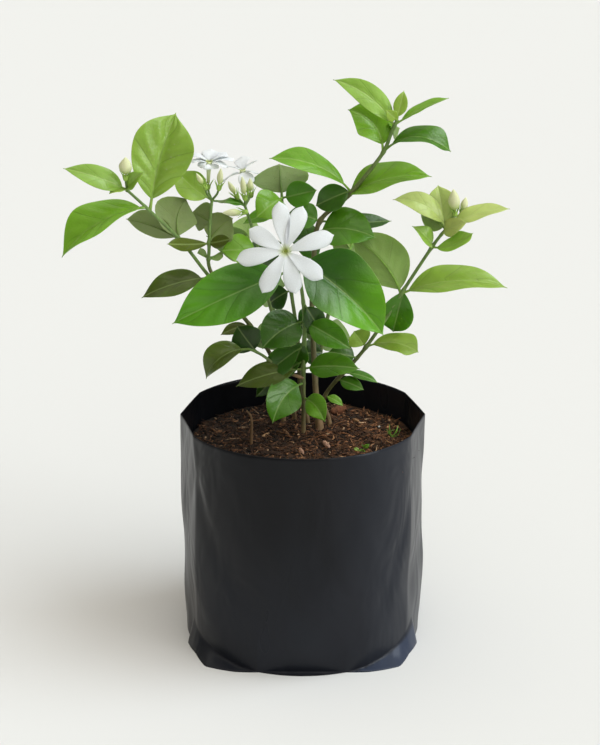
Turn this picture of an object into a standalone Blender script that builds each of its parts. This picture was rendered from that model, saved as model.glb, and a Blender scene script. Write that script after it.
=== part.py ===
"""A potted jasmine in a black film nursery bag, at its real size.

The frame is in metres with +Z up. The origin is on the floor under the middle of the bag,
and the side that the photograph shows faces -Y. Sizes below are in millimetres. Leaves,
stems and flowers are placed by where they show in the photograph: a column and a row in
its pixels, and a depth behind the middle of the bag.
"""
import math
import random
from dataclasses import dataclass

import bmesh
import bpy
import numpy as np
from mathutils import Vector

MM = 0.001
GAP = 0.3

# The film bag.
BAG_WIDTH = 120.0
BAG_HEIGHT = 113.0
BAG_WALL = 1.0
BASE_HALF_WIDTH = 58.5
BASE_HALF_DEPTH = 54.5
TAPER_HEIGHT = 28.0
GUSSET_HALF_ANGLE = 30.0
BAG_STEPS = 48
BAG_LEVELS = (0.0, 4.0, 8.0, 14.0, 28.0, 70.0, BAG_HEIGHT)
FILM_SLACK = 0.5
SLACK_WAVES = 5
SLACK_RISE = 17.0
LEAST_SINE = 0.1

# A folded corner of its foot: angles from the front, radii on the floor and crease heights.
EAR_ANGLES = (21.0, 31.4, 44.3, 56.0, 68.0, 74.0)
EAR_OUTLINE = (58.4, 63.3, 67.7, 63.2, 61.5, 58.5)
EAR_CREASES = (0.0, 0.7, 3.5, 7.8, 14.0, 0.0)

# The potting mix.
SOIL_HEIGHT = 97.0
SOIL_MOUND = 4.0
SOIL_RINGS = 6
CHIP_RELIEF = 1.3
SOIL_SEED = 7
HOLE_DEPTH = 14.0
HOLE_CLEARANCE = 0.4
HOLE_SIDES = 12

# The photograph's viewpoint: the focal length and the middle of the picture in pixels.
FOCAL_LENGTH = 1954.0
AXIS_COLUMN = 302.5
MIDDLE_ROW = 372.5
CAMERA_DISTANCE = 950.0
CAMERA_ELEVATION = math.radians(19.47)
AIM_HEIGHT = 134.3

# Leaves and petals.
LEAF_THICKNESS = 0.8
PETAL_THICKNESS = 0.7
PETIOLE_HOLD = 0.12
PETIOLE_THICKNESS = 0.9
PETIOLE_PER_WIDTH = 1 / 60
PETIOLE_THINNING = 0.8
WIDE_LEAF = 24.0
LEAF_ROW = 8.0
MOST_ROWS = 6
BASE_ROUNDNESS = 0.85
TIP_FULLNESS = 2.0
TIP_DRAWN = 0.06
WAVES = 1.5
WAVE_HEIGHT = 0.09
WAVE_PHASE = 1.6
MIDRIB_STEP = 0.01
MERGE_WITHIN = 0.01
PETAL_PEAK = 0.66
PETAL_FOOT = 0.16
PETAL_FULLNESS = 3.4
PETAL_WAIST = 1.25
PETAL_RISE = 0.06
PETAL_BOW = 0.16
PETAL_LAYER = 0.3

# Calyxes, corolla tubes and buds, with how many sides and rings of faces they have.
CALYX_RADIUS = 1.2
CALYX_HALF_LENGTH = 1.5
CALYX_TEETH = 5
TOOTH_LENGTH = 4.0
TOOTH_RADIUS = 0.45
TOOTH_TIP_RADIUS = 0.1
TOOTH_SIDES = 3
TOOTH_FOOT_SHARE = 0.5
TOOTH_SPREAD = 0.85
CUP_FACES = (6, 5)
TUBE_DIAMETER = 2.4
TUBE_FOOT_SHARE = 0.7
HUB_SHARE = 1.6
HUB_DEPTH = 2.0
HUB_RISE = 0.4
BUD_FACES = (8, 6)


@dataclass(frozen=True)
class Leaf:
    """A leaf on a shoot.

    The joint counts the shoot's points, and may lie between two. The tip is a pixel. Reach
    says how much deeper the tip lies than the joint. Roll is the turn about the midrib, in
    degrees, from a blade whose upper face looks at the camera. Arch and sweep bow the midrib
    along the blade's upward and sideways direction, as shares of its length. Peak is where
    along the blade it is widest, and the stalk is the share of the length before the blade.
    """

    joint: float
    tip: tuple
    reach: float
    width: float
    roll: float = 0.0
    arch: float = 0.1
    sweep: float = 0.0
    fold: float = 18.0
    curl: float = -0.12
    peak: float = 0.42
    stalk: float = 0.12


@dataclass(frozen=True)
class Shoot:
    """A shoot: its points as (column, row, depth), its diameters and what it carries."""

    points: tuple
    thick: float
    thin: float
    leaves: tuple = ()


@dataclass(frozen=True)
class LeafyStem:
    """A stem that stands in the potting mix, with its side shoots and its calyxes."""

    node: str
    foot: tuple
    shoots: tuple
    flare: float = 1.0
    calyxes: tuple = ()


@dataclass(frozen=True)
class Bud:
    """A closed flower, from its calyx to its tip, both as (column, row, depth)."""

    node: str
    calyx: tuple
    tip: tuple
    width: float


@dataclass(frozen=True)
class Flower:
    """An open flower: a corolla tube from the calyx to the throat, and petals round it."""

    node: str
    calyx: tuple
    throat: tuple
    petals: tuple
    petal_width: float


FRONT_STEM = LeafyStem(
    "front_stem",
    foot=(0.5, 3.0),
    shoots=(
        Shoot(
            ((303.5, 398, 2), (303.5, 369, 1), (304.5, 322, -3), (302, 292, -7), (297, 268, -11)),
            2.2,
            1.7,
            (
                Leaf(0.55, (272.5, 423.5), -15, 19, roll=-8, arch=0.12, sweep=-0.14),
                Leaf(0.0, (325, 422), -13, 12, roll=8, arch=0.1, sweep=0.12),
                Leaf(1.0, (360, 369), -12, 15, roll=-30, arch=0.1),
                Leaf(1.0, (236, 386.5), -2, 14, roll=25, arch=0.12),
                Leaf(1.2, (279, 379), 5, 7, roll=20),
                Leaf(1.65, (293, 368), 7, 12, roll=0),
                Leaf(1.5, (265, 377), 4, 14, roll=20),
                Leaf(2.0, (262, 349), -13, 22, roll=15, arch=0.16, sweep=-0.06, fold=24),
                Leaf(2.0, (351, 349), -13, 14, roll=-12, arch=0.1),
                Leaf(2.6, (321, 333), 4, 12, roll=-10),
                Leaf(4.0, (172, 324), -9, 29, roll=12, arch=0.08, fold=25),
            ),
        ),
        Shoot(
            ((297, 268, -11), (291, 256, -15), (286.5, 252.5, -18.5)),
            1.6,
            1.4,
            (
                Leaf(0.9, (384, 336), -15, 38, roll=-18, arch=0.06, sweep=0.045, fold=31, peak=0.36),
            ),
        ),
        Shoot(
            ((303.5, 378, 1), (284, 371, 2), (262, 355, 0), (249, 349, -3)),
            1.8,
            1.2,
            (
                Leaf(1.0, (256, 397), 3, 8, roll=10),
                Leaf(2.3, (237, 326), 2, 17, roll=-10, fold=14),
                Leaf(3.0, (206, 379), -5, 17, roll=35, arch=0.3, fold=34),
            ),
        ),
    ),
    calyxes=(((286.5, 252.5, -18.5), (285.5, 251, -32)),),
)

LEFT_STEM = LeafyStem(
    "left_stem",
    foot=(-9.5, 20.0),
    shoots=(
        Shoot(
            (
                (283, 385, 16), (268, 350, 10), (250, 325, 7), (222, 292, 3), (204, 270, 0),
                (181, 241, -4), (150, 211, -9), (127, 190, -12),
            ),
            2.6,
            1.3,
            (
                Leaf(2.0, (220.5, 335), -3, 7, roll=30),
                Leaf(3.65, (141.5, 298), -5, 16, roll=36, arch=0.1, peak=0.38),
                Leaf(5.0, (126, 219), 12, 14, roll=150, arch=0.04, sweep=0.04, peak=0.6),
                Leaf(5.0, (186.5, 198), 13, 23, roll=200, arch=0.1, sweep=-0.13, peak=0.62),
                Leaf(6.15, (61.8, 257.5), -8, 27.5, roll=54, arch=0.14, fold=26, peak=0.54, stalk=0.05),
                Leaf(6.0, (176, 112.7), 12, 32.5, roll=0, arch=0.05, sweep=0.035, fold=28, peak=0.58),
                Leaf(7.0, (63, 168.5), -4, 12, roll=24, arch=0.1, peak=0.34, stalk=0.08),
                Leaf(7.0, (144, 172), -6, 9, roll=-30, fold=34),
                Leaf(7.0, (109, 194), -7, 6, roll=60),
            ),
        ),
        Shoot(
            ((222, 292, 3), (209.5, 268, 4), (209, 250, 4), (210, 222, 8), (212, 200, 11)),
            1.9,
            1.4,
            (
                Leaf(1.5, (222, 251), 6, 8, roll=120),
                Leaf(1.5, (197, 253), 8, 8, roll=120),
                Leaf(2.25, (167, 244), -19, 7, roll=20, arch=-0.03, fold=6, peak=0.6, stalk=0.04),
                Leaf(2.25, (231, 239), -8, 7, roll=-20, arch=0.0, fold=6, stalk=0.04),
                Leaf(2.3, (233, 218), 4, 18, roll=170, sweep=-0.1),
                Leaf(3.0, (192, 212), 5, 16, roll=160),
                Leaf(4.0, (177, 170), 6, 16, roll=20, sweep=0.1),
                Leaf(4.0, (231, 197), 9, 7, roll=100),
            ),
        ),
        Shoot(((127, 190, -12), (126, 183, -15), (125.5, 178, -16)), 1.2, 1.0),
        Shoot(((212, 200, 11), (209, 193, 11), (208, 187, 11)), 1.2, 1.0),
        Shoot(((212, 200, 11), (217, 194, 8), (219, 188, 7)), 1.2, 1.0),
        Shoot(((212, 200, 11), (207, 194, 5), (205, 187, 3)), 1.1, 1.0),
    ),
    calyxes=(
        ((125.5, 178, -16), (125.5, 157, -17)),
        ((208, 187, 11), (209, 163, 11)),
        ((219, 188, 7), (221, 168, 5)),
        ((205, 187, 3), (196, 173, 1)),
    ),
)

BUD_STEM = LeafyStem(
    "bud_stem",
    foot=(-4.0, 25.0),
    shoots=(
        Shoot(
            (
                (288, 385, 21), (279, 340, 16), (266, 290, 14), (259, 252, 14), (251, 224, 14),
                (245, 206, 13),
            ),
            2.1,
            1.3,
            (
                Leaf(3.0, (221, 251), -6, 17, roll=25),
                Leaf(5.0, (224, 203), -3, 7, roll=60),
                Leaf(2.0, (230, 292), 9, 20, roll=20),
            ),
        ),
        Shoot(((245, 206, 13), (240, 200, 13), (237, 197, 13)), 1.1, 1.0),
        Shoot(((245, 206, 13), (245, 200, 10), (245, 198, 9)), 1.1, 1.0),
        Shoot(((245, 206, 13), (249, 199, 15), (251, 195, 16)), 1.1, 1.0),
        Shoot(((251, 224, 14), (248, 216, 9), (245, 212, 6)), 1.1, 1.0),
        Shoot(((245, 206, 13), (248, 198, 20), (247, 189, 24)), 1.1, 1.0),
    ),
    calyxes=(
        ((237, 197, 13), (228, 181, 13)),
        ((245, 198, 9), (242, 176, 7)),
        ((251, 195, 16), (250, 178, 17)),
        ((245, 212, 6), (222, 213, 3)),
        ((247, 189, 24), (243, 172, 27)),
    ),
)

CENTRE_STEM = LeafyStem(
    "centre_stem",
    foot=(2.5, 21.0),
    shoots=(
        Shoot(
            (
                (300, 385, 19), (298, 340, 18), (291, 290, 20), (286, 240, 22), (283, 213, 22),
                (282, 198, 22),
            ),
            2.3,
            1.4,
            (
                Leaf(0.7, (323, 352), 3, 14, roll=-15, arch=0.05),
                Leaf(1.25, (319, 317), 3, 15, roll=-10, arch=0.05),
                Leaf(2.0, (269, 304), 4, 14, roll=20),
                Leaf(3.0, (322, 244), 10, 20, roll=-20),
                Leaf(3.0, (256, 262), 12, 20, roll=20),
                Leaf(4.0, (243, 224), -3, 9, roll=40),
                Leaf(4.0, (312, 226), 14, 16, roll=-20),
                Leaf(5.0, (279, 164), 14, 28, roll=180, arch=-0.12, fold=8),
                Leaf(5.0, (256, 218), -12, 18, roll=10, arch=0.2),
                Leaf(5.0, (317, 190), -3, 14, roll=0, arch=0.1),
            ),
        ),
    ),
)

TOP_STEM = LeafyStem(
    "top_stem",
    foot=(8.5, 11.0),
    flare=1.35,
    shoots=(
        Shoot(
            (
                (316, 395, 11), (313.5, 350, 12), (312, 300, 14), (314, 255, 16), (320, 221, 16),
                (346, 198, 13), (371, 169, 9), (384, 151, 7), (391, 134, 5), (397, 120, 3),
            ),
            3.1,
            1.5,
            (
                Leaf(3.6, (376, 238), -10, 24, roll=-34, arch=0.2),
                Leaf(4.0, (391.5, 221), 8, 13, roll=-45, arch=0.02, sweep=-0.05),
                Leaf(4.0, (296, 214), 1, 14, roll=20),
                Leaf(5.2, (269, 158.5), -3, 14, roll=38, arch=0.18, sweep=-0.02, fold=22, peak=0.62),
                Leaf(5.1, (431.8, 176.7), -4, 23, roll=-52, arch=0.12, fold=22, peak=0.38, stalk=0.02),
                Leaf(5.3, (315.5, 206), 5, 14, roll=10),
                Leaf(6.9, (347.7, 109.7), 7, 20, roll=18, arch=0.1, sweep=-0.18, peak=0.46),
                Leaf(7.0, (451, 152), -6, 18, roll=-56, arch=0.26, fold=24, peak=0.74),
                Leaf(8.5, (333, 79.7), 4, 12.5, roll=20, arch=0.12, sweep=-0.07, peak=0.4, stalk=0.06),
                Leaf(8.6, (449, 98), 2, 9, roll=-62, arch=0.04, sweep=-0.01, fold=28, peak=0.5),
                Leaf(9.0, (404, 90.5), 2, 7, roll=0, arch=0.05),
                Leaf(9.0, (386, 110), -4, 6, roll=0),
                Leaf(8.4, (400, 128), 20, 11, roll=150),
            ),
        ),
    ),
)

RIGHT_STEM = LeafyStem(
    "right_stem",
    foot=(13.5, 18.0),
    shoots=(
        Shoot(
            (
                (325, 396, 16), (352, 364, 11), (366, 347, 9), (385, 320, 7), (401, 294, 5),
                (432, 247, 1), (446, 229, -1),
            ),
            2.2,
            1.5,
            (
                Leaf(0.0, (343, 406), -4, 6, roll=-40),
                Leaf(0.5, (364, 390), -6, 8, roll=-20),
                Leaf(0.7, (378, 383), -2, 6, roll=-40),
                Leaf(1.3, (328, 352), -3, 12, roll=15),
                Leaf(2.0, (418.5, 352.5), -6, 15, roll=-42, arch=0.12, sweep=0.07, peak=0.76),
                Leaf(2.0, (354, 331), 5, 13),
                Leaf(4.0, (507.4, 288), -4, 21, roll=-48, arch=0.13, fold=22, stalk=0.07),
                Leaf(4.0, (350, 236), 6, 26, roll=172, arch=-0.08, sweep=0.11, stalk=0.06),
                Leaf(4.1, (393, 332), 9, 17, peak=0.5, stalk=0.03),
                Leaf(5.0, (412, 226), -5, 11, roll=45, arch=0.2, sweep=0.1, fold=28),
                Leaf(5.0, (473, 233), -6, 11, roll=-42, arch=0.04, sweep=-0.18, fold=24, peak=0.74),
                Leaf(6.0, (392.6, 199.7), -2, 12, roll=30, arch=0.16, sweep=-0.1),
                Leaf(6.0, (420, 212), 7, 11, roll=175),
                Leaf(6.0, (438, 185), 10, 15.5, roll=0),
                Leaf(6.0, (510, 209), -1, 11, roll=-46, arch=0.12),
                Leaf(5.55, (467, 222.5), -7, 10, roll=-30),
            ),
        ),
        Shoot(((446, 229, -1), (452, 219, -2), (455, 214, -2)), 1.3, 1.1),
        Shoot(((446, 229, -1), (456, 221, 1), (462, 215, 2)), 1.2, 1.0),
    ),
    calyxes=(
        ((455, 214, -2), (453.5, 189, -3)),
        ((462, 215, 2), (466, 197, 3)),
    ),
)

BACK_LEFT_STEM = LeafyStem(
    "back_left_stem",
    foot=(-11.0, 31.0),
    shoots=(
        Shoot(
            ((286, 380, 31), (279, 335, 33), (268, 290, 36), (256, 258, 40), (247, 238, 42)),
            2.6,
            1.5,
            (
                Leaf(1.0, (250, 345), 24, 17, roll=170),
                Leaf(1.0, (296, 352), 22, 16, roll=190),
                Leaf(2.0, (216, 300), 20, 22, roll=160),
                Leaf(2.0, (286, 285), 30, 22, roll=200),
                Leaf(3.0, (206, 236), 10, 20, roll=150),
                Leaf(3.0, (262, 250), 34, 23, roll=180),
                Leaf(4.0, (252, 214), 22, 18, roll=190),
            ),
        ),
    ),
)

BACK_RIGHT_STEM = LeafyStem(
    "back_right_stem",
    foot=(9.0, 31.0),
    shoots=(
        Shoot(
            ((316, 380, 31), (324, 335, 34), (333, 295, 37), (341, 268, 41), (350, 250, 43)),
            2.6,
            1.5,
            (
                Leaf(1.0, (300, 330), 26, 17, roll=170),
                Leaf(1.0, (352, 340), 22, 18, roll=190),
                Leaf(2.0, (310, 288), 30, 22, roll=160),
                Leaf(2.0, (378, 300), 16, 20, roll=205),
                Leaf(3.0, (340, 262), 36, 23, roll=180),
                Leaf(3.0, (386, 262), 16, 20, roll=200),
                Leaf(4.0, (330, 236), 22, 17, roll=170),
                Leaf(4.0, (366, 236), 22, 16, roll=200),
            ),
        ),
    ),
)

STEMS = (
    FRONT_STEM, LEFT_STEM, BUD_STEM, CENTRE_STEM, TOP_STEM, RIGHT_STEM, BACK_LEFT_STEM,
    BACK_RIGHT_STEM,
)

FRONT_PETALS = (
    (334, 235), (303, 206), (279, 201), (249, 229), (236, 260), (262, 293), (296, 294), (323, 279),
)

BACK_PETALS = (
    (234, 158), (226, 152), (211, 149), (195, 153), (191, 160), (198, 166), (212, 169), (228, 166),
)

REAR_PETALS = ((222, 181), (228, 166), (242, 156), (256, 160), (258, 173), (248, 184))

FLOWERS = (
    Flower("front_flower", (286.5, 252.5, -18.5), (285.5, 251, -32), FRONT_PETALS, 8.2),
    Flower("back_flower", (208, 187, 11), (209, 163, 11), BACK_PETALS, 6.0),
    Flower("rear_flower", (247, 189, 24), (243, 172, 27), REAR_PETALS, 6.0),
)

BUDS = (
    Bud("left_bud", (125.5, 178, -16), (125.5, 157, -17), 6.2),
    Bud("back_bud", (219, 188, 7), (221, 168, 5), 3.0),
    Bud("slim_bud", (205, 187, 3), (196, 173, 1), 2.4),
    Bud("cluster_bud_1", (237, 197, 13), (228, 181, 13), 2.8),
    Bud("cluster_bud_2", (245, 198, 9), (242, 176, 7), 3.0),
    Bud("cluster_bud_3", (251, 195, 16), (250, 178, 17), 3.0),
    Bud("white_bud", (245, 212, 6), (222, 213, 3), 3.6),
    Bud("right_bud_1", (455, 214, -2), (453.5, 189, -3), 5.6),
    Bud("right_bud_2", (462, 215, 2), (466, 197, 3), 3.6),
)

TWIG_FOOT = (-25.0, -8.0)
TWIG_POINTS = ((251.5, 419, -8), (246.5, 410.5, -7))
TWIG_DIAMETER = 1.8


@dataclass(frozen=True)
class Finish:
    """The colour as sRGB hex, with the roughness."""

    colour: str
    roughness: float


FINISHES = {
    "film": Finish("#232327", 0.35),
    "soil": Finish("#4a3020", 0.95),
    "leaf": Finish("#4f8a2c", 0.45),
    "petal": Finish("#f6f6f8", 0.6),
    "bud": Finish("#e9ecc4", 0.6),
    "dead_wood": Finish("#8a6a4c", 0.8),
}


def srgb_to_linear(value):
    """One sRGB channel between 0 and 1 as linear light."""
    return value / 12.92 if value <= 0.04045 else ((value + 0.055) / 1.055) ** 2.4


def material(name):
    """The Principled material of a finish, made at its first use."""
    if name in bpy.data.materials:
        return bpy.data.materials[name]
    finish = FINISHES[name]
    channels = [int(finish.colour[place:place + 2], 16) / 255 for place in (1, 3, 5)]
    made = bpy.data.materials.new(name)
    made.use_nodes = True
    shader = made.node_tree.nodes["Principled BSDF"]
    shader.inputs["Base Color"].default_value = (*map(srgb_to_linear, channels), 1.0)
    shader.inputs["Roughness"].default_value = finish.roughness
    shader.inputs["Metallic"].default_value = 0.0
    return made


def unit(vector):
    """The vector at length one."""
    return vector / np.linalg.norm(vector)


def spot(column, row, depth):
    """The point, in millimetres, that shows at a pixel and lies at a depth behind the middle."""
    sine, cosine = math.sin(CAMERA_ELEVATION), math.cos(CAMERA_ELEVATION)
    forward, up, right = np.array((0, cosine, -sine)), np.array((0, sine, cosine)), np.array((1, 0, 0))
    ray = FOCAL_LENGTH * forward + (column - AXIS_COLUMN) * right + (MIDDLE_ROW - row) * up
    return camera_place() + ray * (depth - camera_place()[1]) / ray[1]


def camera_place():
    """Where the photograph was taken from, in millimetres."""
    back = CAMERA_DISTANCE * math.cos(CAMERA_ELEVATION)
    return np.array((0.0, -back, AIM_HEIGHT + CAMERA_DISTANCE * math.sin(CAMERA_ELEVATION)))


def collection(name):
    """The collection of that name, made and linked at its first use."""
    if name not in bpy.data.collections:
        bpy.context.scene.collection.children.link(bpy.data.collections.new(name))
    return bpy.data.collections[name]


def object_from(name, form, group, finish):
    """An object that holds a bmesh, whose coordinates are millimetres."""
    bmesh.ops.scale(form, vec=(MM, MM, MM), verts=form.verts)
    mesh = bpy.data.meshes.new(name)
    form.to_mesh(mesh)
    form.free()
    mesh.materials.append(material(finish))
    made = bpy.data.objects.new(name, mesh)
    group.objects.link(made)
    return made


def take_evaluated(thing):
    """Keeps the mesh that the object's modifiers give, and removes the modifiers."""
    bpy.context.view_layer.update()
    evaluated = thing.evaluated_get(bpy.context.evaluated_depsgraph_get())
    mesh = bpy.data.meshes.new_from_object(evaluated)
    thing.modifiers.clear()
    thing.data = mesh
    return thing


def combine(body, pieces, operation):
    """Joins the pieces to the body, or cuts them from it, in one Boolean, and removes them."""
    group = collection(body.name + "_pieces")
    for piece in pieces:
        group.objects.link(piece)
    boolean = body.modifiers.new("combine", "BOOLEAN")
    boolean.operation = operation
    boolean.operand_type = "COLLECTION"
    boolean.collection = group
    boolean.solver = "EXACT"
    take_evaluated(body)
    for piece in list(group.objects):
        bpy.data.objects.remove(piece)
    bpy.data.collections.remove(group)
    return body


def tube(name, points, diameters, group, finish, side_level=1):
    """A rod through points in millimetres, made from a bevelled curve and closed at its ends."""
    curve = bpy.data.curves.new(name, "CURVE")
    curve.dimensions = "3D"
    curve.bevel_depth = 0.5 * MM
    curve.bevel_resolution = side_level
    curve.use_fill_caps = True
    line = curve.splines.new("POLY")
    line.points.add(len(points) - 1)
    for knot, place, diameter in zip(line.points, points, diameters):
        knot.co = (*(np.array(place) * MM), 1.0)
        knot.radius = diameter
    drawn = bpy.data.objects.new(name + "_curve", curve)
    group.objects.link(drawn)
    bpy.context.view_layer.update()
    evaluated = drawn.evaluated_get(bpy.context.evaluated_depsgraph_get())
    form = bmesh.new()
    form.from_mesh(bpy.data.meshes.new_from_object(evaluated))
    bmesh.ops.remove_doubles(form, verts=form.verts, dist=0.001 * MM)
    bmesh.ops.scale(form, vec=(1 / MM,) * 3, verts=form.verts)
    made = object_from(name, form, group, finish)
    bpy.data.objects.remove(drawn)
    return made


def bag_radius(angle, height):
    """The film's outer radius at an angle, in degrees from +X, and a height."""
    half = BAG_WIDTH / 2
    from_side = abs((angle + 90) % 180 - 90)
    facet = GUSSET_HALF_ANGLE / 2
    flat = math.cos(math.radians(facet)) / math.cos(math.radians(from_side - facet))
    upper = half * flat if from_side < GUSSET_HALF_ANGLE else half
    cut = BASE_HALF_DEPTH / max(abs(math.sin(math.radians(angle))), LEAST_SINE)
    lower = min(BASE_HALF_WIDTH, cut)
    rise = min(height / TAPER_HEIGHT, 1.0)
    blend = math.sin(rise * math.pi / 2)
    slack = FILM_SLACK * math.sin(math.radians(SLACK_WAVES * angle) + height / SLACK_RISE) * blend
    return lower + (upper - lower) * blend + slack


def eared_radius(angle, height):
    """The outer radius with the folded corners, which grow from their creases to the floor."""
    wall = bag_radius(angle, height)
    from_front = 90 - abs((angle + 90) % 180 - 90)
    crease = np.interp(from_front, EAR_ANGLES, EAR_CREASES, left=0.0, right=0.0)
    if height >= crease:
        return wall
    top = bag_radius(angle, crease)
    outline = np.interp(from_front, EAR_ANGLES, EAR_OUTLINE)
    return max(wall, top + (outline - top) * (1 - height / crease))


def bag_ring(height, inset=0.0, radius=bag_radius):
    """The bag's outline at a height, drawn in by an inset."""
    angles = [360 * step / BAG_STEPS for step in range(BAG_STEPS)]
    radii = [radius(angle, height) - inset for angle in angles]
    turns = [math.radians(angle) for angle in angles]
    return [(r * math.cos(turn), r * math.sin(turn), height) for r, turn in zip(radii, turns)]


def loft(form, rings):
    """Skins neighbouring rings of points, and returns their vertices."""
    rows = [[form.verts.new(place) for place in ring] for ring in rings]
    for lower, upper in zip(rows, rows[1:]):
        for step in range(len(lower)):
            after = (step + 1) % len(lower)
            form.faces.new((lower[step], lower[after], upper[after], upper[step]))
    return rows


def nursery_bag(group):
    """The film bag: round at its mouth, with a flat foot and four folded corners."""
    form = bmesh.new()
    outer = [bag_ring(height, radius=eared_radius) for height in BAG_LEVELS]
    inner = [bag_ring(height, BAG_WALL) for height in (BAG_WALL,) + BAG_LEVELS[1:]]
    rows = loft(form, outer + inner[::-1])
    form.faces.new(list(reversed(rows[0])))
    form.faces.new(rows[-1])
    bmesh.ops.triangulate(form, faces=form.faces)
    return object_from("nursery_bag", form, group, "film")


def soil_top(x, y):
    """The smooth height of the potting mix, without its chips."""
    share = math.hypot(x, y) / (BAG_WIDTH / 2)
    return SOIL_HEIGHT + SOIL_MOUND * (1 - share**2)


def potting_mix(group, stems):
    """The mix that fills the bag: a chipped, mounded top with a plain hole for each stem."""
    draw = random.Random(SOIL_SEED)
    inset = BAG_WALL + 2 * GAP
    floor = BAG_WALL + GAP
    form = bmesh.new()
    levels = [floor] + [level for level in BAG_LEVELS if floor < level < SOIL_HEIGHT] + [SOIL_HEIGHT]
    rings = [bag_ring(level, inset) for level in levels]
    for ring in range(SOIL_RINGS - 1, 0, -1):
        share = ring / SOIL_RINGS
        outer = rings[len(levels) - 1]
        rings.append([
            (x * share, y * share, soil_top(x * share, y * share) + draw.uniform(-1, 1) * CHIP_RELIEF)
            for x, y, _ in outer
        ])
    rows = loft(form, rings)
    form.faces.new(list(reversed(rows[0])))
    middle = form.verts.new((0, 0, soil_top(0, 0)))
    for step, corner in enumerate(rows[-1]):
        form.faces.new((corner, rows[-1][(step + 1) % BAG_STEPS], middle))
    bmesh.ops.triangulate(form, faces=form.faces)
    mix = object_from("potting_mix", form, group, "soil")
    holes = []
    for (x, y), diameter in stems:
        hole = bmesh.new()
        radius = diameter / 2 + HOLE_CLEARANCE
        bmesh.ops.create_cone(
            hole, cap_ends=True, segments=HOLE_SIDES, radius1=radius, radius2=radius, depth=2 * HOLE_DEPTH
        )
        bmesh.ops.translate(hole, vec=(x, y, soil_top(x, y)), verts=hole.verts)
        holes.append(object_from("hole", hole, collection("cutters"), "soil"))
    return combine(mix, holes, "DIFFERENCE")


def along_points(points, joint):
    """The place on a shoot at a joint number, which may lie between two points."""
    before = min(int(joint), len(points) - 2)
    return points[before] + (points[before + 1] - points[before]) * (joint - before)


def taper(run, peak):
    """How wide a leaf is at a run from its foot, 0, to its tip, 1, as a share of its widest."""
    run = min(max(run, 0.0), 1.0)
    point = 1 - math.exp(-(1 - run) / TIP_DRAWN)
    if run < peak:
        return point * (1 - ((peak - run) / peak) ** 2) ** BASE_ROUNDNESS
    return point * (1 - ((run - peak) / (1 - peak)) ** TIP_FULLNESS)


def petal_taper(run):
    """The same for a petal, which is narrow at its foot and blunt at its tip."""
    run = min(max(run, 0.0), 1.0)
    if run < PETAL_PEAK:
        return PETAL_FOOT + (1 - PETAL_FOOT) * math.sin(math.pi / 2 * run / PETAL_PEAK) ** PETAL_WAIST
    return 1 - ((run - PETAL_PEAK) / (1 - PETAL_PEAK)) ** PETAL_FULLNESS


class LeafForm:
    """The curved surface of one leaf, as a function of its length and width."""

    def __init__(self, leaf, start):
        self.leaf = leaf
        self.start = start
        tip = spot(*leaf.tip, start[1] + leaf.reach)
        self.chord = tip - start
        self.length = np.linalg.norm(self.chord)
        along = self.chord / self.length
        facing = unit(camera_place() - (start + tip) / 2)
        facing = unit(facing - np.dot(facing, along) * along)
        turn = math.radians(leaf.roll)
        self.normal = math.cos(turn) * facing + math.sin(turn) * np.cross(along, facing)
        self.side = np.cross(self.normal, along)

    def midrib(self, share):
        """The place on the petiole and midrib at a share of the leaf's length."""
        bow = 4 * share * (1 - share) * self.length
        bend = self.leaf.arch * self.normal + self.leaf.sweep * self.side
        return self.start + share * self.chord + bow * bend

    def half_width(self, run):
        """Half the blade's width at a run from its foot, 0, to its tip, 1."""
        return self.leaf.width / 2 * taper(run, self.leaf.peak)

    def place(self, run, across):
        """The point of the blade at a run along it and a share across it, -1 to 1."""
        share = self.leaf.stalk + (1 - self.leaf.stalk) * run
        after = min(share, 1.0) + MIDRIB_STEP
        ahead = unit(self.midrib(after) - self.midrib(share - MIDRIB_STEP))
        up = unit(self.normal - np.dot(self.normal, ahead) * ahead)
        aside = np.cross(up, ahead)
        half = self.half_width(run)
        fold = math.radians(self.leaf.fold)
        phase = 0.0 if across > 0 else WAVE_PHASE
        wave = WAVE_HEIGHT * math.sin(2 * math.pi * WAVES * run + phase)
        rise = abs(across) * math.sin(fold) + (self.leaf.curl + wave) * across**2
        return self.midrib(share) + half * (across * math.cos(fold) * aside + rise * up)


def blade(form_of, rows, columns, thickness, group, finish):
    """A thin solid blade, from a grid that follows a surface function."""
    form = bmesh.new()
    bmesh.ops.create_grid(form, x_segments=rows, y_segments=columns, size=1.0)
    for corner in form.verts:
        run = (1 - math.cos(math.pi * (corner.co.x + 1) / 2)) / 2
        corner.co = Vector(form_of(run, corner.co.y))
    bmesh.ops.remove_doubles(form, verts=form.verts, dist=MERGE_WITHIN)
    bmesh.ops.triangulate(form, faces=form.faces)
    made = object_from("blade", form, group, finish)
    solid = made.modifiers.new("thickness", "SOLIDIFY")
    solid.thickness = thickness * MM
    solid.offset = 0.0
    return take_evaluated(made)


def leaf_pieces(leaf, start, group):
    """A leaf's blade and its petiole, which runs on under the foot of the midrib."""
    shape = LeafForm(leaf, start)
    rows = int(min(max(shape.length / LEAF_ROW, 3), MOST_ROWS))
    columns = 4 if leaf.width > WIDE_LEAF else 2
    made = blade(shape.place, rows, columns, LEAF_THICKNESS, group, "leaf")
    shares = (0.0, leaf.stalk, leaf.stalk + PETIOLE_HOLD)
    thick = PETIOLE_THICKNESS + PETIOLE_PER_WIDTH * leaf.width
    path = [shape.midrib(share) for share in shares]
    stalk = tube("stalk", path, (thick, thick, PETIOLE_THINNING * thick), group, "leaf", 0)
    return [made, stalk]


def turned_along(form, start, direction):
    """Turns a form made about +Z to a direction and moves it to its start."""
    turn = Vector((0, 0, 1)).rotation_difference(Vector(direction)).to_matrix()
    bmesh.ops.rotate(form, cent=(0, 0, 0), matrix=turn, verts=form.verts)
    bmesh.ops.translate(form, vec=start, verts=form.verts)
    return form


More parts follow.
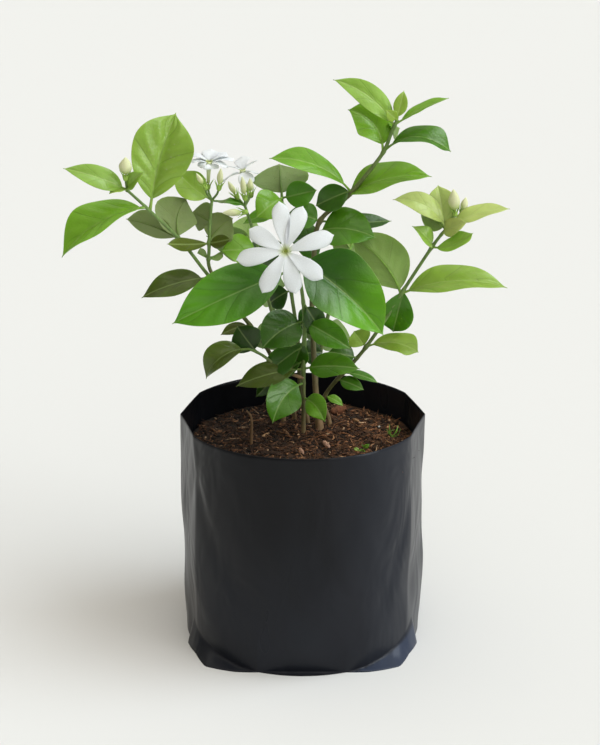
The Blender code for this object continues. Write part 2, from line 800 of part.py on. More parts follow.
def egg(length, width, start, direction, faces):
    """A closed egg from its start along a direction, with so many faces round and along it."""
    form = bmesh.new()
    bmesh.ops.create_uvsphere(form, u_segments=faces[0], v_segments=faces[1], radius=0.5)
    bmesh.ops.scale(form, vec=(width, width, length), verts=form.verts)
    bmesh.ops.translate(form, vec=(0, 0, length / 2), verts=form.verts)
    return turned_along(form, start, direction)


def calyx_pieces(foot, aim, group):
    """The green cup under a flower or bud, with its narrow teeth spread outward."""
    centre = spot(*foot)
    axis = unit(spot(*aim) - centre)
    base = centre - CALYX_HALF_LENGTH * axis
    cup = egg(2 * CALYX_HALF_LENGTH, 2 * CALYX_RADIUS, base, axis, CUP_FACES)
    pieces = [object_from("cup", cup, group, "leaf")]
    aside = unit(np.cross(axis, (0.3, 0.2, 1.0)))
    for tooth in range(CALYX_TEETH):
        turn = 2 * math.pi * tooth / CALYX_TEETH
        outward = math.cos(turn) * aside + math.sin(turn) * np.cross(axis, aside)
        spike = bmesh.new()
        bmesh.ops.create_cone(
            spike, cap_ends=True, segments=TOOTH_SIDES, radius1=TOOTH_RADIUS, radius2=TOOTH_TIP_RADIUS,
            depth=TOOTH_LENGTH,
        )
        bmesh.ops.translate(spike, vec=(0, 0, TOOTH_LENGTH / 2), verts=spike.verts)
        foot_at = centre + TOOTH_FOOT_SHARE * CALYX_RADIUS * outward
        turned_along(spike, foot_at, unit(axis + TOOTH_SPREAD * outward))
        pieces.append(object_from("tooth", spike, group, "leaf"))
    return pieces


def leafy_stem(stem, group):
    """One stem with its side shoots, leaves and calyxes, fused into one solid."""
    spare = collection("fused")
    pieces = []
    trunk = None
    for number, shoot in enumerate(stem.shoots):
        points = [spot(*point) for point in shoot.points]
        path = list(points)
        if number == 0:
            x, y = stem.foot
            rise = soil_top(x, y)
            path = [np.array((x, y, rise - HOLE_DEPTH + GAP)), np.array((x, y, rise + 1.0))] + path
        spread = np.linspace(shoot.thick, shoot.thin, len(path))
        if number == 0:
            spread[:2] = shoot.thick * stem.flare
        rod = tube(stem.node, path, spread, group if number == 0 else spare, "leaf")
        if number == 0:
            trunk = rod
        else:
            pieces.append(rod)
        for leaf in shoot.leaves:
            pieces += leaf_pieces(leaf, along_points(points, leaf.joint), spare)
    for foot, aim in stem.calyxes:
        pieces += calyx_pieces(foot, aim, spare)
    for piece in pieces:
        spare.objects.unlink(piece)
    return combine(trunk, pieces, "UNION")


class PetalForm:
    """The surface of one petal, from the throat to its tip."""

    def __init__(self, throat, tip, axis, width, lift):
        self.throat = throat + lift * axis
        self.chord = tip - throat
        self.axis = axis
        self.side = np.cross(axis, unit(self.chord))
        self.width = width

    def place(self, run, across):
        """The point of the petal at a run along it and a share across it, -1 to 1."""
        half = self.width / 2 * petal_taper(run)
        rise = PETAL_RISE * math.sin(math.pi * run) * np.linalg.norm(self.chord)
        up = rise - PETAL_BOW * half * across**2
        return self.throat + run * self.chord + across * half * self.side + up * self.axis


def flower(bloom, group):
    """A corolla: a tube from the calyx to the throat, a small hub, and petals in two layers."""
    spare = collection("fused")
    calyx, throat = spot(*bloom.calyx), spot(*bloom.throat)
    axis = unit(throat - calyx)
    start = calyx + (CALYX_HALF_LENGTH + GAP) * axis
    body = tube(
        bloom.node, [start, throat - HUB_DEPTH * axis, throat + HUB_RISE * axis],
        (TUBE_FOOT_SHARE * TUBE_DIAMETER, TUBE_DIAMETER, HUB_SHARE * TUBE_DIAMETER), group, "petal",
    )
    pieces = []
    for number, (column, row) in enumerate(bloom.petals):
        tip = petal_tip(throat, axis, column, row)
        shape = PetalForm(throat, tip, axis, bloom.petal_width, PETAL_LAYER * (number % 2))
        pieces.append(blade(shape.place, 4, 2, PETAL_THICKNESS, spare, "petal"))
    for piece in pieces:
        spare.objects.unlink(piece)
    return combine(body, pieces, "UNION")


def petal_tip(throat, axis, column, row):
    """Where the ray of a pixel meets the flower's plane, or a plane tipped to the camera."""
    eye = camera_place()
    ray = spot(column, row, 0.0) - eye
    plane = unit(axis + unit(eye - throat))
    return eye + ray * np.dot(throat - eye, plane) / np.dot(ray, plane)


def bud(shape, group):
    """A closed flower, standing on its calyx."""
    calyx, tip = spot(*shape.calyx), spot(*shape.tip)
    axis = unit(tip - calyx)
    start = calyx + (CALYX_HALF_LENGTH + GAP) * axis
    form = egg(np.linalg.norm(tip - start), shape.width, start, axis, BUD_FACES)
    return object_from(shape.node, form, group, "bud")


def dead_twig(group):
    """A dry twig stuck upright in the mix, bent over at its top."""
    x, y = TWIG_FOOT
    rise = soil_top(x, y)
    path = [np.array((x, y, rise - HOLE_DEPTH + GAP)), np.array((x, y, rise + 1.0))]
    path += [spot(*point) for point in TWIG_POINTS]
    return tube("dead_twig", path, [TWIG_DIAMETER] * len(path), group, "dead_wood")


def main():
    """Models the plant, its mix and its bag."""
    for old in list(bpy.data.objects):
        bpy.data.objects.remove(old)
    group = collection("potted_jasmine")
    feet = [(stem.foot, stem.shoots[0].thick * stem.flare) for stem in STEMS]
    nursery_bag(group)
    potting_mix(group, feet + [(TWIG_FOOT, TWIG_DIAMETER)])
    for stem in STEMS:
        leafy_stem(stem, group)
    for bloom in FLOWERS:
        flower(bloom, group)
    for shape in BUDS:
        bud(shape, group)
    dead_twig(group)


main()
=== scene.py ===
"""The looks of the potted jasmine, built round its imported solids.

Lengths are in millimetres until a piece is made, and the frame is that of the solids: +Z up,
-Y towards the viewer of the photograph, and the origin on the floor under the bag. Leaves,
stems and flowers are placed as in the part's own source: by a column and a row of the
photograph and a depth behind the middle of the bag.
"""
from __future__ import annotations

import logging
import math
from dataclasses import dataclass
from enum import Enum

import bpy
import numpy as np
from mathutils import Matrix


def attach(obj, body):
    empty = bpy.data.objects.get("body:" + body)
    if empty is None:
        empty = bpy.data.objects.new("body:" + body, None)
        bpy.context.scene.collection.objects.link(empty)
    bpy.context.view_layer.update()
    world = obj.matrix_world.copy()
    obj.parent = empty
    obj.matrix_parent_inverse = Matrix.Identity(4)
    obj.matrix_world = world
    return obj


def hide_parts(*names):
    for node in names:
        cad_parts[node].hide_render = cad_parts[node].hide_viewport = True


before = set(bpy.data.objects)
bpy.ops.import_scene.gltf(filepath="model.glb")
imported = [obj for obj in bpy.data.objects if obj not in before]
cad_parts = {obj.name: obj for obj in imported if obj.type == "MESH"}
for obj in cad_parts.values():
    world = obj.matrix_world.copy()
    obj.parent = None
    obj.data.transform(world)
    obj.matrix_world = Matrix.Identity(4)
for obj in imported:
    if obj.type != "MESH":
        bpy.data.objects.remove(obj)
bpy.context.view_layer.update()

MM = 0.001
LOG = logging.getLogger("potted_jasmine")
TEXTURE_SEED = 11


def unit(vectors: np.ndarray) -> np.ndarray:
    """The vectors of the last axis, each divided by its length."""
    return vectors / np.linalg.norm(vectors, axis=-1, keepdims=True)


def smooth_step(low: float, high: float, value: np.ndarray) -> np.ndarray:
    """Zero below low, one above high, and 3t^2 - 2t^3 between them."""
    share = np.clip((value - low) / (high - low), 0.0, 1.0)
    return share * share * (3 - 2 * share)


def mixed(first: np.ndarray, second: np.ndarray, share: np.ndarray) -> np.ndarray:
    """The first value, changed into the second by a share from 0 to 1."""
    return first + (second - first) * share


def full_turn(sides: int) -> np.ndarray:
    """The angles of equal steps round a circle, as a row."""
    return np.linspace(0, 2 * np.pi, sides, endpoint=False)[None, :]


def spokes(axis: np.ndarray, hint: tuple, turn: np.ndarray) -> np.ndarray:
    """Unit vectors square to an axis, at angles round it from the side that a hint gives."""
    aside = unit(np.cross(axis, np.array(hint)))
    return np.cos(turn)[..., None] * aside + np.sin(turn)[..., None] * np.cross(axis, aside)


def linear_colour(code: str) -> np.ndarray:
    """An sRGB hex code, "#rrggbb", as three channels of linear light from 0 to 1."""
    channels = np.array([int(code[place:place + 2], 16) for place in (1, 3, 5)]) / 255
    return np.where(channels <= 0.04045, channels / 12.92, ((channels + 0.055) / 1.055) ** 2.4)


def opaque(code: str) -> tuple:
    """An sRGB hex code as a linear colour with full opacity, as a socket takes it."""
    return (*linear_colour(code).tolist(), 1.0)


def add_object(name: str, data: bpy.types.ID) -> bpy.types.Object:
    """Adds an object that holds the data to the scene, at the origin."""
    made = bpy.data.objects.new(name, data)
    bpy.context.scene.collection.objects.link(made)
    return made


@dataclass(frozen=True)
class Viewpoint:
    """Where the photograph was taken from, as the camera fitted to the bag gave it."""

    focal_length: float = 1954.0
    axis_column: float = 302.5
    middle_row: float = 372.5
    picture_width: float = 600.0
    picture_height: float = 745.0
    distance: float = 950.0
    elevation: float = math.radians(19.47)
    aim_height: float = 134.3
    sensor: float = 36.0

    def place(self) -> np.ndarray:
        """The camera's place: the distance away from the aim, raised by the elevation."""
        back = self.distance * math.cos(self.elevation)
        return np.array((0.0, -back, self.aim_height + self.distance * math.sin(self.elevation)))

    def meet(self, column: float, row: float, point: np.ndarray, normal: np.ndarray) -> np.ndarray:
        """Where a pixel's ray meets a plane.

        The ray is focal length times forward, plus its columns to the right and its rows
        upward.

        Args:
            column: the pixel's column.
            row: the pixel's row.
            point: a point of the plane.
            normal: the direction square to the plane.

        Returns:
            The point where they meet.
        """
        sine, cosine = math.sin(self.elevation), math.cos(self.elevation)
        ray = self.focal_length * np.array((0.0, cosine, -sine))
        ray = ray + (self.middle_row - row) * np.array((0.0, sine, cosine))
        ray = ray + (column - self.axis_column) * np.array((1.0, 0.0, 0.0))
        eye = self.place()
        return eye + ray * np.dot(point - eye, normal) / np.dot(ray, normal)

    def spot(self, column: float, row: float, depth: float) -> np.ndarray:
        """The point that shows at a pixel and lies at a depth behind the middle of the bag."""
        return self.meet(column, row, np.array((0.0, depth, 0.0)), np.array((0.0, 1.0, 0.0)))

    def make_camera(self) -> None:
        """Makes the scene's camera here, with the photograph's framing."""
        lens = bpy.data.cameras.new("camera")
        camera = add_object("camera", lens)
        lens.sensor_width = self.sensor
        lens.lens = self.focal_length / self.picture_height * self.sensor
        lens.shift_x = (self.picture_width / 2 - self.axis_column) / self.picture_height
        lens.clip_start = 0.01
        lens.clip_end = 50.0
        camera.location = self.place() * MM
        camera.rotation_euler = (math.pi / 2 - self.elevation, 0.0, 0.0)
        bpy.context.scene.camera = camera


VIEW = Viewpoint()


@dataclass
class Surface:
    """One closed skin of a piece.

    Points are (n, 3), quads (m, 4) and fans (k, 3). Tone is each point's own linear colour.
    Guide is what the finish reads there: how far along, how far across, a third number, and
    how much it belongs to the under side.
    """

    points: np.ndarray
    quads: np.ndarray
    fans: np.ndarray
    tone: np.ndarray
    guide: np.ndarray
    finish: int = 0

    def outward(self) -> Surface:
        """Turns the faces round if they enclose a negative volume.

        The volume is the sum over the triangles of a.(b x c) / 6.

        Returns:
            This surface.
        """
        split = np.concatenate((self.quads[:, (0, 1, 2)], self.quads[:, (0, 2, 3)], self.fans))
        a, b, c = (self.points[split[:, corner]] for corner in range(3))
        if np.einsum("ij,ij->", a - self.points[0], np.cross(b - a, c - a)) < 0:
            self.quads = self.quads[:, ::-1]
            self.fans = self.fans[:, ::-1]
        return self


def loft(
    rings: np.ndarray, tone: np.ndarray, guide: np.ndarray | None = None, finish: int = 0
) -> Surface:
    """A closed skin over a stack of rings.

    Neighbouring points of neighbouring rings make a quad, and each end is closed by a fan
    round the mean of its ring.

    Args:
        rings: the points, as (rings, sides, 3).
        tone: a colour, or one for each point, as (rings, sides, 3).
        guide: what the finish reads, as (rings, sides, 4), or nothing.
        finish: the number of the piece's material.

    Returns:
        The skin, with its faces outward.
    """
    stack, sides = rings.shape[:2]
    index = np.arange(stack * sides).reshape(stack, sides)
    after = np.roll(index, -1, axis=1)
    quads = np.stack((index[:-1], after[:-1], after[1:], index[1:]), axis=-1).reshape(-1, 4)
    first, last = np.full(sides, stack * sides), np.full(sides, stack * sides + 1)
    fans = np.concatenate((
        np.stack((after[0], index[0], first), axis=-1),
        np.stack((index[-1], after[-1], last), axis=-1),
    ))

    def with_poles(values: np.ndarray) -> np.ndarray:
        """The values of all points, followed by the mean of each end ring."""
        wide = np.broadcast_to(values, (stack, sides, values.shape[-1]))
        flat = wide.reshape(-1, values.shape[-1])
        return np.concatenate((flat, wide[:1].mean(axis=1), wide[-1:].mean(axis=1)))

    guide = np.zeros(4) if guide is None else guide
    made = Surface(with_poles(rings), quads, fans, with_poles(tone), with_poles(guide), finish)
    return made.outward()


def make_piece(
    node: str, part: str, skins: list[Surface], finishes: list[bpy.types.Material]
) -> None:
    """Puts skins into one mesh object, in metres, which rides on the one body.

    Args:
        node: the node that the piece stands for.
        part: what part of it the piece is, which ends its name.
        skins: its closed skins.
        finishes: its materials, in the order that the skins number them.
    """
    name = f"{node}_{part}"
    offsets = np.cumsum([0] + [len(skin.points) for skin in skins[:-1]])
    faces, numbers = [], []
    for skin, offset in zip(skins, offsets):
        faces += (skin.quads + offset).tolist() + (skin.fans + offset).tolist()
        numbers.append(np.full(len(skin.quads) + len(skin.fans), skin.finish))
    mesh = bpy.data.meshes.new(name)
    mesh.from_pydata((np.concatenate([skin.points for skin in skins]) * MM).tolist(), [], faces)
    mesh.polygons.foreach_set("material_index", np.concatenate(numbers).astype(np.int32))
    mesh.polygons.foreach_set("use_smooth", np.ones(len(faces), bool))
    tone = np.concatenate([skin.tone for skin in skins])
    tone = np.hstack((tone, np.ones((len(tone), 1))))
    guide = np.concatenate([skin.guide for skin in skins])
    for attribute, values in (("tone", tone), ("guide", guide)):
        layer = mesh.attributes.new(attribute, "FLOAT_COLOR", "POINT")
        layer.data.foreach_set("color", values.ravel())
    for finish in finishes:
        mesh.materials.append(finish)
    mesh.update()
    made = add_object(name, mesh)
    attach(made, "root")
    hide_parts(node)
    LOG.info("%s: %d faces", name, len(faces))


def feed(node: bpy.types.Node, inputs: dict) -> None:
    """Gives a node's sockets, by name or number, their values or the sockets that feed them."""
    for name, value in inputs.items():
        if isinstance(value, bpy.types.NodeSocket):
            node.id_data.links.new(value, node.inputs[name])
        else:
            node.inputs[name].default_value = value


def add_node(
    tree: bpy.types.NodeTree, kind: str, inputs: dict | None = None, out: int | str = 0,
    **settings: object,
) -> bpy.types.NodeSocket | None:
    """Adds a node to a tree, with its settings and its inputs.

    Args:
        tree: the node tree.
        kind: the node's type, without the word that all shader nodes start with.
        inputs: for each socket's name or number, its value or the socket that feeds it.
        out: the name or number of the output that is wanted.
        settings: the node's properties.

    Returns:
        That output, or nothing where the node has none.
    """
    node = tree.nodes.new("ShaderNode" + kind)
    for name, value in settings.items():
        setattr(node, name, value)
    feed(node, inputs or {})
    return node.outputs[out] if node.outputs else None


def worn_tone(
    tree: bpy.types.NodeTree, pattern: bpy.types.NodeSocket, shades: tuple
) -> bpy.types.NodeSocket:
    """The piece's own tone, made darker and lighter by a pattern.

    Args:
        tree: the material's node tree.
        pattern: a noise, whose values mostly lie between 0.3 and 0.7.
        shades: the shares of the tone that those two give.

    Returns:
        The colour.
    """
    tone = add_node(tree, "Attribute", attribute_name="tone")
    share = add_node(
        tree, "MapRange",
        {"Value": pattern, "From Min": 0.3, "From Max": 0.7, "To Min": shades[0], "To Max": shades[1]},
    )
    return add_node(tree, "VectorMath", {0: tone, "Scale": share}, operation="SCALE")


@dataclass(frozen=True)
class Finish:
    """A material, whose name says what it is and how its surface was made.

    Inner light is how much light spreads inside the tissue, light reach how far each colour
    goes there, and light depth the length of that reach in metres.
    """

    name: str
    roughness: float
    ior: float = 1.45
    gloss: float = 0.5
    inner_light: float = 0.0
    light_reach: tuple = (1.0, 0.2, 0.1)
    light_depth: float = 0.05

    def surface(self, tree: bpy.types.NodeTree) -> dict:
        """What else the shader's sockets take: nothing, for a plain surface."""
        return {}

    def make(self) -> bpy.types.Material:
        """Makes the material: the constants on the shader's own sockets, then its surface."""
        made = bpy.data.materials.new(self.name)
        made.use_nodes = True
        shader = made.node_tree.nodes["Principled BSDF"]
        feed(shader, {
            "Roughness": self.roughness, "IOR": self.ior, "Specular IOR Level": self.gloss,
            "Subsurface Weight": self.inner_light, "Subsurface Radius": self.light_reach,
            "Subsurface Scale": self.light_depth,
        })
        feed(shader, self.surface(made.node_tree))
        return made


@dataclass(frozen=True)
class LeafFinish(Finish):
    """A living leaf: a waxy cuticle over green tissue, with paler veins, and a dull back.

    The guide's second number is how far a point is from the midrib, in millimetres, and its
    third counts the side veins. Rib and side each say where a vein begins to fade, where it
    ends, and its share in its middle. Along the side veins the tissue is painted darker, a
    painted shade in their creases.
    """

    vein: str = "#b4cb80"
    vein_share: float = 0.34
    # Painted shade: the share of the tissue's colour left in the creases of the side veins.
    crease: float = 0.62
    back: str = "#8c9c64"
    back_share: float = 0.6
    back_roughness: float = 0.62
    mottle: float = 9.0
    shades: tuple = (0.9, 1.08)
    grain: float = 1.2
    rib: tuple = (0.1, 0.6, 0.75)
    side: tuple = (0.0, 0.09, 0.5)
    relief: float = 0.35
    depth: float = 0.0004
    gloss_tint: tuple = (1.0, 1.0, 0.86, 1.0)

    def surface(self, tree: bpy.types.NodeTree) -> dict:
        """Colour from the leaf's tone, its veins and its side, with gloss that follows them."""
        place = add_node(tree, "TexCoord", out="Object")
        blotch = add_node(
            tree, "TexNoise",
            {"Vector": place, "Scale": 1 / MM / self.mottle, "Detail": 3.0, "Roughness": 0.55},
        )
        tissue = worn_tone(tree, blotch, self.shades)
        guide = add_node(tree, "Attribute", attribute_name="guide").node.outputs
        axes = add_node(tree, "SeparateXYZ", {0: guide["Vector"]}).node.outputs
        away = add_node(tree, "Math", {0: axes["Y"]}, operation="ABSOLUTE")
        wrap = add_node(tree, "Math", {0: axes["Z"], 1: 1.0}, operation="PINGPONG")
        rib, side = (
            add_node(
                tree, "MapRange",
                {"Value": value, "From Min": low, "From Max": high, "To Min": most, "To Max": 0.0},
                interpolation_type="SMOOTHSTEP",
            )
            for value, (low, high, most) in ((away, self.rib), (wrap, self.side))
        )
        pale = add_node(
            tree, "Mix", {0: self.vein_share, 6: tissue, 7: opaque(self.vein)}, 2, data_type="RGBA"
        )
        # Painted shade in the creases along the side veins.
        crease = add_node(tree, "VectorMath", {0: tissue, "Scale": self.crease}, operation="SCALE")
        vein_shaded = add_node(tree, "Mix", {0: side, 6: tissue, 7: crease}, 2, data_type="RGBA")
        veined = add_node(tree, "Mix", {0: rib, 6: vein_shaded, 7: pale}, 2, data_type="RGBA")
        back = add_node(
            tree, "Mix", {0: self.back_share, 6: veined, 7: opaque(self.back)}, 2, data_type="RGBA"
        )
        colour = add_node(tree, "Mix", {0: guide["Alpha"], 6: veined, 7: back}, 2, data_type="RGBA")
        dull = add_node(
            tree, "MapRange",
            {"Value": guide["Alpha"], "To Min": self.roughness, "To Max": self.back_roughness},
        )
        grain = add_node(tree, "TexNoise", {"Vector": place, "Scale": 1 / MM / self.grain, "Detail": 2.0})
        veins = add_node(tree, "Math", {0: rib, 1: side}, operation="MAXIMUM")
        relief = add_node(tree, "Math", {0: grain, 1: veins}, operation="SUBTRACT")
        raised = add_node(
            tree, "Bump", {"Height": relief, "Strength": self.relief, "Distance": self.depth}
        )
        return {
            "Base Color": colour, "Roughness": dull, "Normal": raised, "Specular Tint": self.gloss_tint,
        }


@dataclass(frozen=True)
class GrainFinish(Finish):
    """A grown or shredded surface, where one fine pattern shades the tone and raises it.

    Size is the pattern's size in millimetres, and stretch draws it out. A guided pattern
    follows the piece's guide, and any other lies in the piece's space.
    """

    size: float = 1.5
    stretch: tuple = (1.0, 1.0, 1.0)
    detail: float = 2.0
    mottle: float = 0.5
    shades: tuple = (0.93, 1.03)
    relief: float = 0.5
    depth: float = 0.0003
    guided: bool = False

    def surface(self, tree: bpy.types.NodeTree) -> dict:
        """Colour from the piece's tone, and relief, both by the pattern."""
        if self.guided:
            place, scale = add_node(tree, "Attribute", out="Vector", attribute_name="guide"), 1 / self.size
        else:
            place, scale = add_node(tree, "TexCoord", out="Object"), 1 / MM / self.size
        drawn = add_node(tree, "Mapping", {"Vector": place, "Scale": self.stretch})
        pattern = add_node(
            tree, "TexNoise",
            {"Vector": drawn, "Scale": scale, "Detail": self.detail, "Roughness": self.mottle},
        )
        raised = add_node(
            tree, "Bump", {"Height": pattern, "Strength": self.relief, "Distance": self.depth}
        )
        return {"Base Color": worn_tone(tree, pattern, self.shades), "Normal": raised}


@dataclass(frozen=True)
class FilmFinish(Finish):
    """LDPE film, blown and folded: near black, softly glossy, with scuffed soft wrinkles.

    It has a painted sheen, a lighter bluish grey towards the right and near the foot: right
    sheen and foot sheen each say where it begins and where it is full, in metres along X or Z,
    and its share. A painted highlight lies on the folded corners at the right, where the
    tone says so.
    """

    colour: str = "#08080b"
    bluish: str = "#13181d"
    brownish: str = "#171518"
    # The next two colours are painted light: the grey of a painted sheen, and the blue of a painted
    # highlight on the folded corners.
    sheen_grey: str = "#282b33"
    painted_glint: str = "#333a4a"
    wrinkle: float = 22.0
    scuff: float = 30.0
    drawn_out: float = 0.5
    # Where the painted sheen lies: towards the right and near the foot.
    right_sheen: tuple = (0.0, 0.05, 0.7)
    foot_sheen: tuple = (0.09, 0.015, 0.42)
    duller: float = 0.08
    glossier: float = 0.06
    relief: float = 0.6
    depth: float = 0.003

    def surface(self, tree: bpy.types.NodeTree) -> dict:
        """Black with faint grey scuffs, uneven gloss, and broad wrinkles under fine ones."""
        flat = add_node(tree, "TexCoord", out="Object")
        place = add_node(tree, "Mapping", {"Vector": flat, "Scale": (1.0, 1.0, self.drawn_out)})
        scuffs = add_node(
            tree, "TexNoise",
            {"Vector": place, "Scale": 1 / MM / self.scuff, "Detail": 2.0, "Roughness": 0.5},
        ).node.outputs
        share, cast = (
            add_node(tree, "MapRange", {"Value": scuffs[name], "From Min": 0.1, "From Max": 0.9})
            for name in ("Fac", "Color")
        )
        axes = add_node(tree, "SeparateXYZ", {0: flat}).node.outputs
        # Painted sheen: the film is painted lighter towards the right and near the foot.
        right_sheen, foot_sheen = (
            add_node(
                tree, "MapRange", {"Value": axes[name], "From Min": low, "From Max": high, "To Max": most},
                interpolation_type="SMOOTHSTEP",
            )
            for name, (low, high, most) in (("X", self.right_sheen), ("Z", self.foot_sheen))
        )
        painted_sheen = add_node(tree, "Math", {0: right_sheen, 1: foot_sheen}, operation="MAXIMUM")
        # Painted highlight: a blue glint painted on the folded corners at the right, where the tone says so.
        folded = add_node(tree, "Attribute", out="Fac", attribute_name="tone")
        worn = add_node(
            tree, "Mix", {0: cast, 6: opaque(self.bluish), 7: opaque(self.brownish)}, 2, data_type="RGBA"
        )
        colour = add_node(
            tree, "Mix", {0: share, 6: opaque(self.colour), 7: worn}, 2, data_type="RGBA"
        )
        # Lays on the painted sheen, then the painted highlight on the corners.
        for where, tint in ((painted_sheen, self.sheen_grey), (folded, self.painted_glint)):
            colour = add_node(tree, "Mix", {0: where, 6: colour, 7: opaque(tint)}, 2, data_type="RGBA")
        low, high = self.roughness - self.glossier, self.roughness + self.duller
        uneven = add_node(tree, "MapRange", {"Value": share, "To Min": low, "To Max": high})
        broad = add_node(
            tree, "TexNoise",
            {"Vector": place, "Scale": 1 / MM / self.wrinkle, "Detail": 2.0, "Distortion": 0.8},
        )
        raised = add_node(
            tree, "Bump", {"Height": broad, "Strength": self.relief, "Distance": self.depth}
        )
        return {"Base Color": colour, "Roughness": uneven, "Normal": raised}


class Palette:
    """All finishes of the plant, made once."""

    def __init__(self) -> None:
        """Makes them, with what each gives the eye."""
        # A soft gloss over green that the light passes into.
        self.leaf = LeafFinish(
            "leaf_waxy_grown", 0.3, inner_light=0.25, light_reach=(0.6, 1.0, 0.25), light_depth=0.001
        ).make()
        # Green and smooth above, brown, streaked and dry below.
        self.bark = GrainFinish(
            "stem_bark_grown", 0.6, size=1.6, stretch=(1.0, 1.0, 0.35), detail=4.0, mottle=0.6,
            shades=(0.65, 1.3),
        ).make()
        # Soft white or cream, faintly lined along the petal, with light in its depth.
        self.petal = GrainFinish(
            "petal_tissue_grown", 0.55, inner_light=0.6, light_reach=(1.0, 1.0, 0.9),
            light_depth=0.003, size=0.625, stretch=(2.0, 1 / 0.9, 1.0), relief=0.25, guided=True,
        ).make()
        # Near black, with a broad soft gloss that its wrinkles break up.
        self.film = FilmFinish("ldpe_film_blown", 0.3, ior=1.51, gloss=0.17).make()
        # Dull, damp and full of small crumbs.
        self.mix = GrainFinish(
            "coir_and_bark_shredded", 0.9, size=1.5, detail=5.0, mottle=0.7, shades=(0.45, 1.6),
            relief=0.8, depth=0.0008,
        ).make()


def taper(run: np.ndarray, peak: float) -> np.ndarray:
    """How wide a blade is along it, as a share of its widest.

    Before the peak it is (1 - x^2) to the base's roundness, where x goes from 1 at the foot to
    0 at the peak. After it, it is 1 - x to the tip's fullness, where x goes from 0 to 1 at
    the tip, drawn out to a point over the last stretch.

    Args:
        run: from the foot, 0, to the tip, 1.
        peak: the run at which the blade is widest.

    Returns:
        The share, from 0 to 1.
    """
    base_roundness, tip_fullness, tip_drawn = 0.85, 2.0, 0.06
    below = (1 - np.clip((peak - run) / peak, 0, 1) ** 2) ** base_roundness
    above = 1 - np.clip((run - peak) / (1 - peak), 0, 1) ** tip_fullness
    return np.where(run < peak, below, above) * (1 - np.exp(-(1 - run) / tip_drawn))


def petal_taper(run: np.ndarray) -> np.ndarray:
    """How wide a petal is along it: narrow at its foot, widest past its middle, blunt at its tip.

    Up to the peak it rises from the foot's share with a power of a sine. After it, it is 1 - x
    to a power, where x goes from 0 to 1 at the tip.

    Args:
        run: from the foot, 0, to the tip, 1.

    Returns:
        The share of its widest, from 0 to 1.
    """
    peak, foot = 0.66, 0.16
    below = mixed(foot, 1, np.sin(np.pi / 2 * np.clip(run / peak, 0, 1)) ** 1.25)
    above = 1 - np.clip((run - peak) / (1 - peak), 0, 1) ** 3.4
    return np.where(run < peak, below, above) * (1 - np.exp(-(1 - run) / 0.03))


def rows_and_columns(length: float, width: float) -> tuple:
    """The stations along and across a blade, close together at its ends and margins.

    Args:
        length: the blade's length.
        width: its greatest width.

    Returns:
        The runs, as a column, and the shares across from -1 to 1, as a row.
    """
    rows = int(np.clip(length * 0.9, 14, 54))
    columns = 2 * int(np.clip(width * 0.5, 4, 12))
    run = (1 - np.cos(np.pi * np.linspace(0.02, 0.99, rows))) / 2
    across = np.sin(np.pi / 2 * np.linspace(-1, 1, columns + 1))
    return run[:, None], across[None, :]


def shell(middle: np.ndarray, half: np.ndarray, guide: np.ndarray, tone: np.ndarray) -> Surface:
    """A thin closed blade round its middle surface.

    Each ring goes over the upper face and back under the lower one. The faces lie half a
    thickness from the middle surface along its normal, the cross product of its two slopes.

    Args:
        middle: the middle surface, as (rows, columns, 3).
        half: half the thickness at each point, nothing at the margins.
        guide: how far along, how far across, and a third number, as (rows, columns, 3).
        tone: the colour of each point.

    Returns:
        The blade.
    """
    normal = unit(np.cross(np.gradient(middle, axis=0), np.gradient(middle, axis=1)))
    upper = middle + normal * half[..., None]
    lower = (middle - normal * half[..., None])[:, -2:0:-1]
    under = np.concatenate((np.zeros(upper.shape[:2]), np.ones(lower.shape[:2])), axis=1)
    under[:, (0, upper.shape[1] - 1)] = 0.5
    guide, tone = (np.concatenate((grid, grid[:, -2:0:-1]), axis=1) for grid in (guide, tone))
    rings = np.concatenate((upper, lower), axis=1)
    return loft(rings, tone, np.concatenate((guide, under[..., None]), axis=-1))


def rod(
    path: np.ndarray, radius: np.ndarray, tone: np.ndarray, finish: int = 1, sides: int = 12
) -> Surface:
    """A round rod: circles of a radius, square to its path.

    Args:
        path: the middle line, as (rings, 3).
        radius: the radius at each ring.
        tone: its colour, or one for each ring.
        finish: the number of the piece's material.
        sides: how many points each ring has.

    Returns:
        The rod, closed at both ends.
    """
    ahead = unit(np.gradient(path, axis=0))[:, None]
    rings = path[:, None] + spokes(ahead, (0.05, 1.0, 0.1), -full_turn(sides)) * radius[:, None, None]
    return loft(rings, tone[:, None] if tone.ndim == 2 else tone, finish=finish)


def along_points(points: np.ndarray, joint: np.ndarray) -> np.ndarray:
    """A smooth line through points, at joint numbers.

    Between two points it is the cubic that meets both with slopes of half the distance
    between their neighbours.

    Args:
        points: the line's points, as (n, 3).
        joint: numbers from 0, the first point, to n - 1, the last.

    Returns:
        The places, with one row for each joint number.
    """
    last = len(points) - 1
    before = np.clip(np.floor(joint).astype(int), 0, last - 1)
    t = (joint - before)[..., None]
    a, b, c, d = (points[np.clip(before + step, 0, last)] for step in (-1, 0, 1, 2))
    square, cube = 2 * a - 5 * b + 4 * c - d, 3 * b - a - 3 * c + d
    return 0.5 * (2 * b + (c - a) * t + square * t**2 + cube * t**3)


BAG_WIDTH = 120.0
SOIL_HEIGHT = 97.0
SOIL_MOUND = 4.0
HOLE_DEPTH = 14.0
GAP_UNDER_STEM = 0.3


def soil_top(x: np.ndarray, y: np.ndarray) -> np.ndarray:
    """The mix's smooth height: a low mound that falls with the square of the radius."""
    return SOIL_HEIGHT + SOIL_MOUND * (1 - (x * x + y * y) / (BAG_WIDTH / 2) ** 2)


def soil_spot(column: float, row: float) -> np.ndarray:
    """Where a pixel's ray meets the mix, taken as level at its middle height.

    Args:
        column: the pixel's column.
        row: the pixel's row.

    Returns:
        The point, set on the mound.
    """
    middle = np.array((0.0, 0.0, SOIL_HEIGHT + SOIL_MOUND / 2))
    point = VIEW.meet(column, row, middle, np.array((0.0, 0.0, 1.0)))
    point[2] = soil_top(point[0], point[1])
    return point


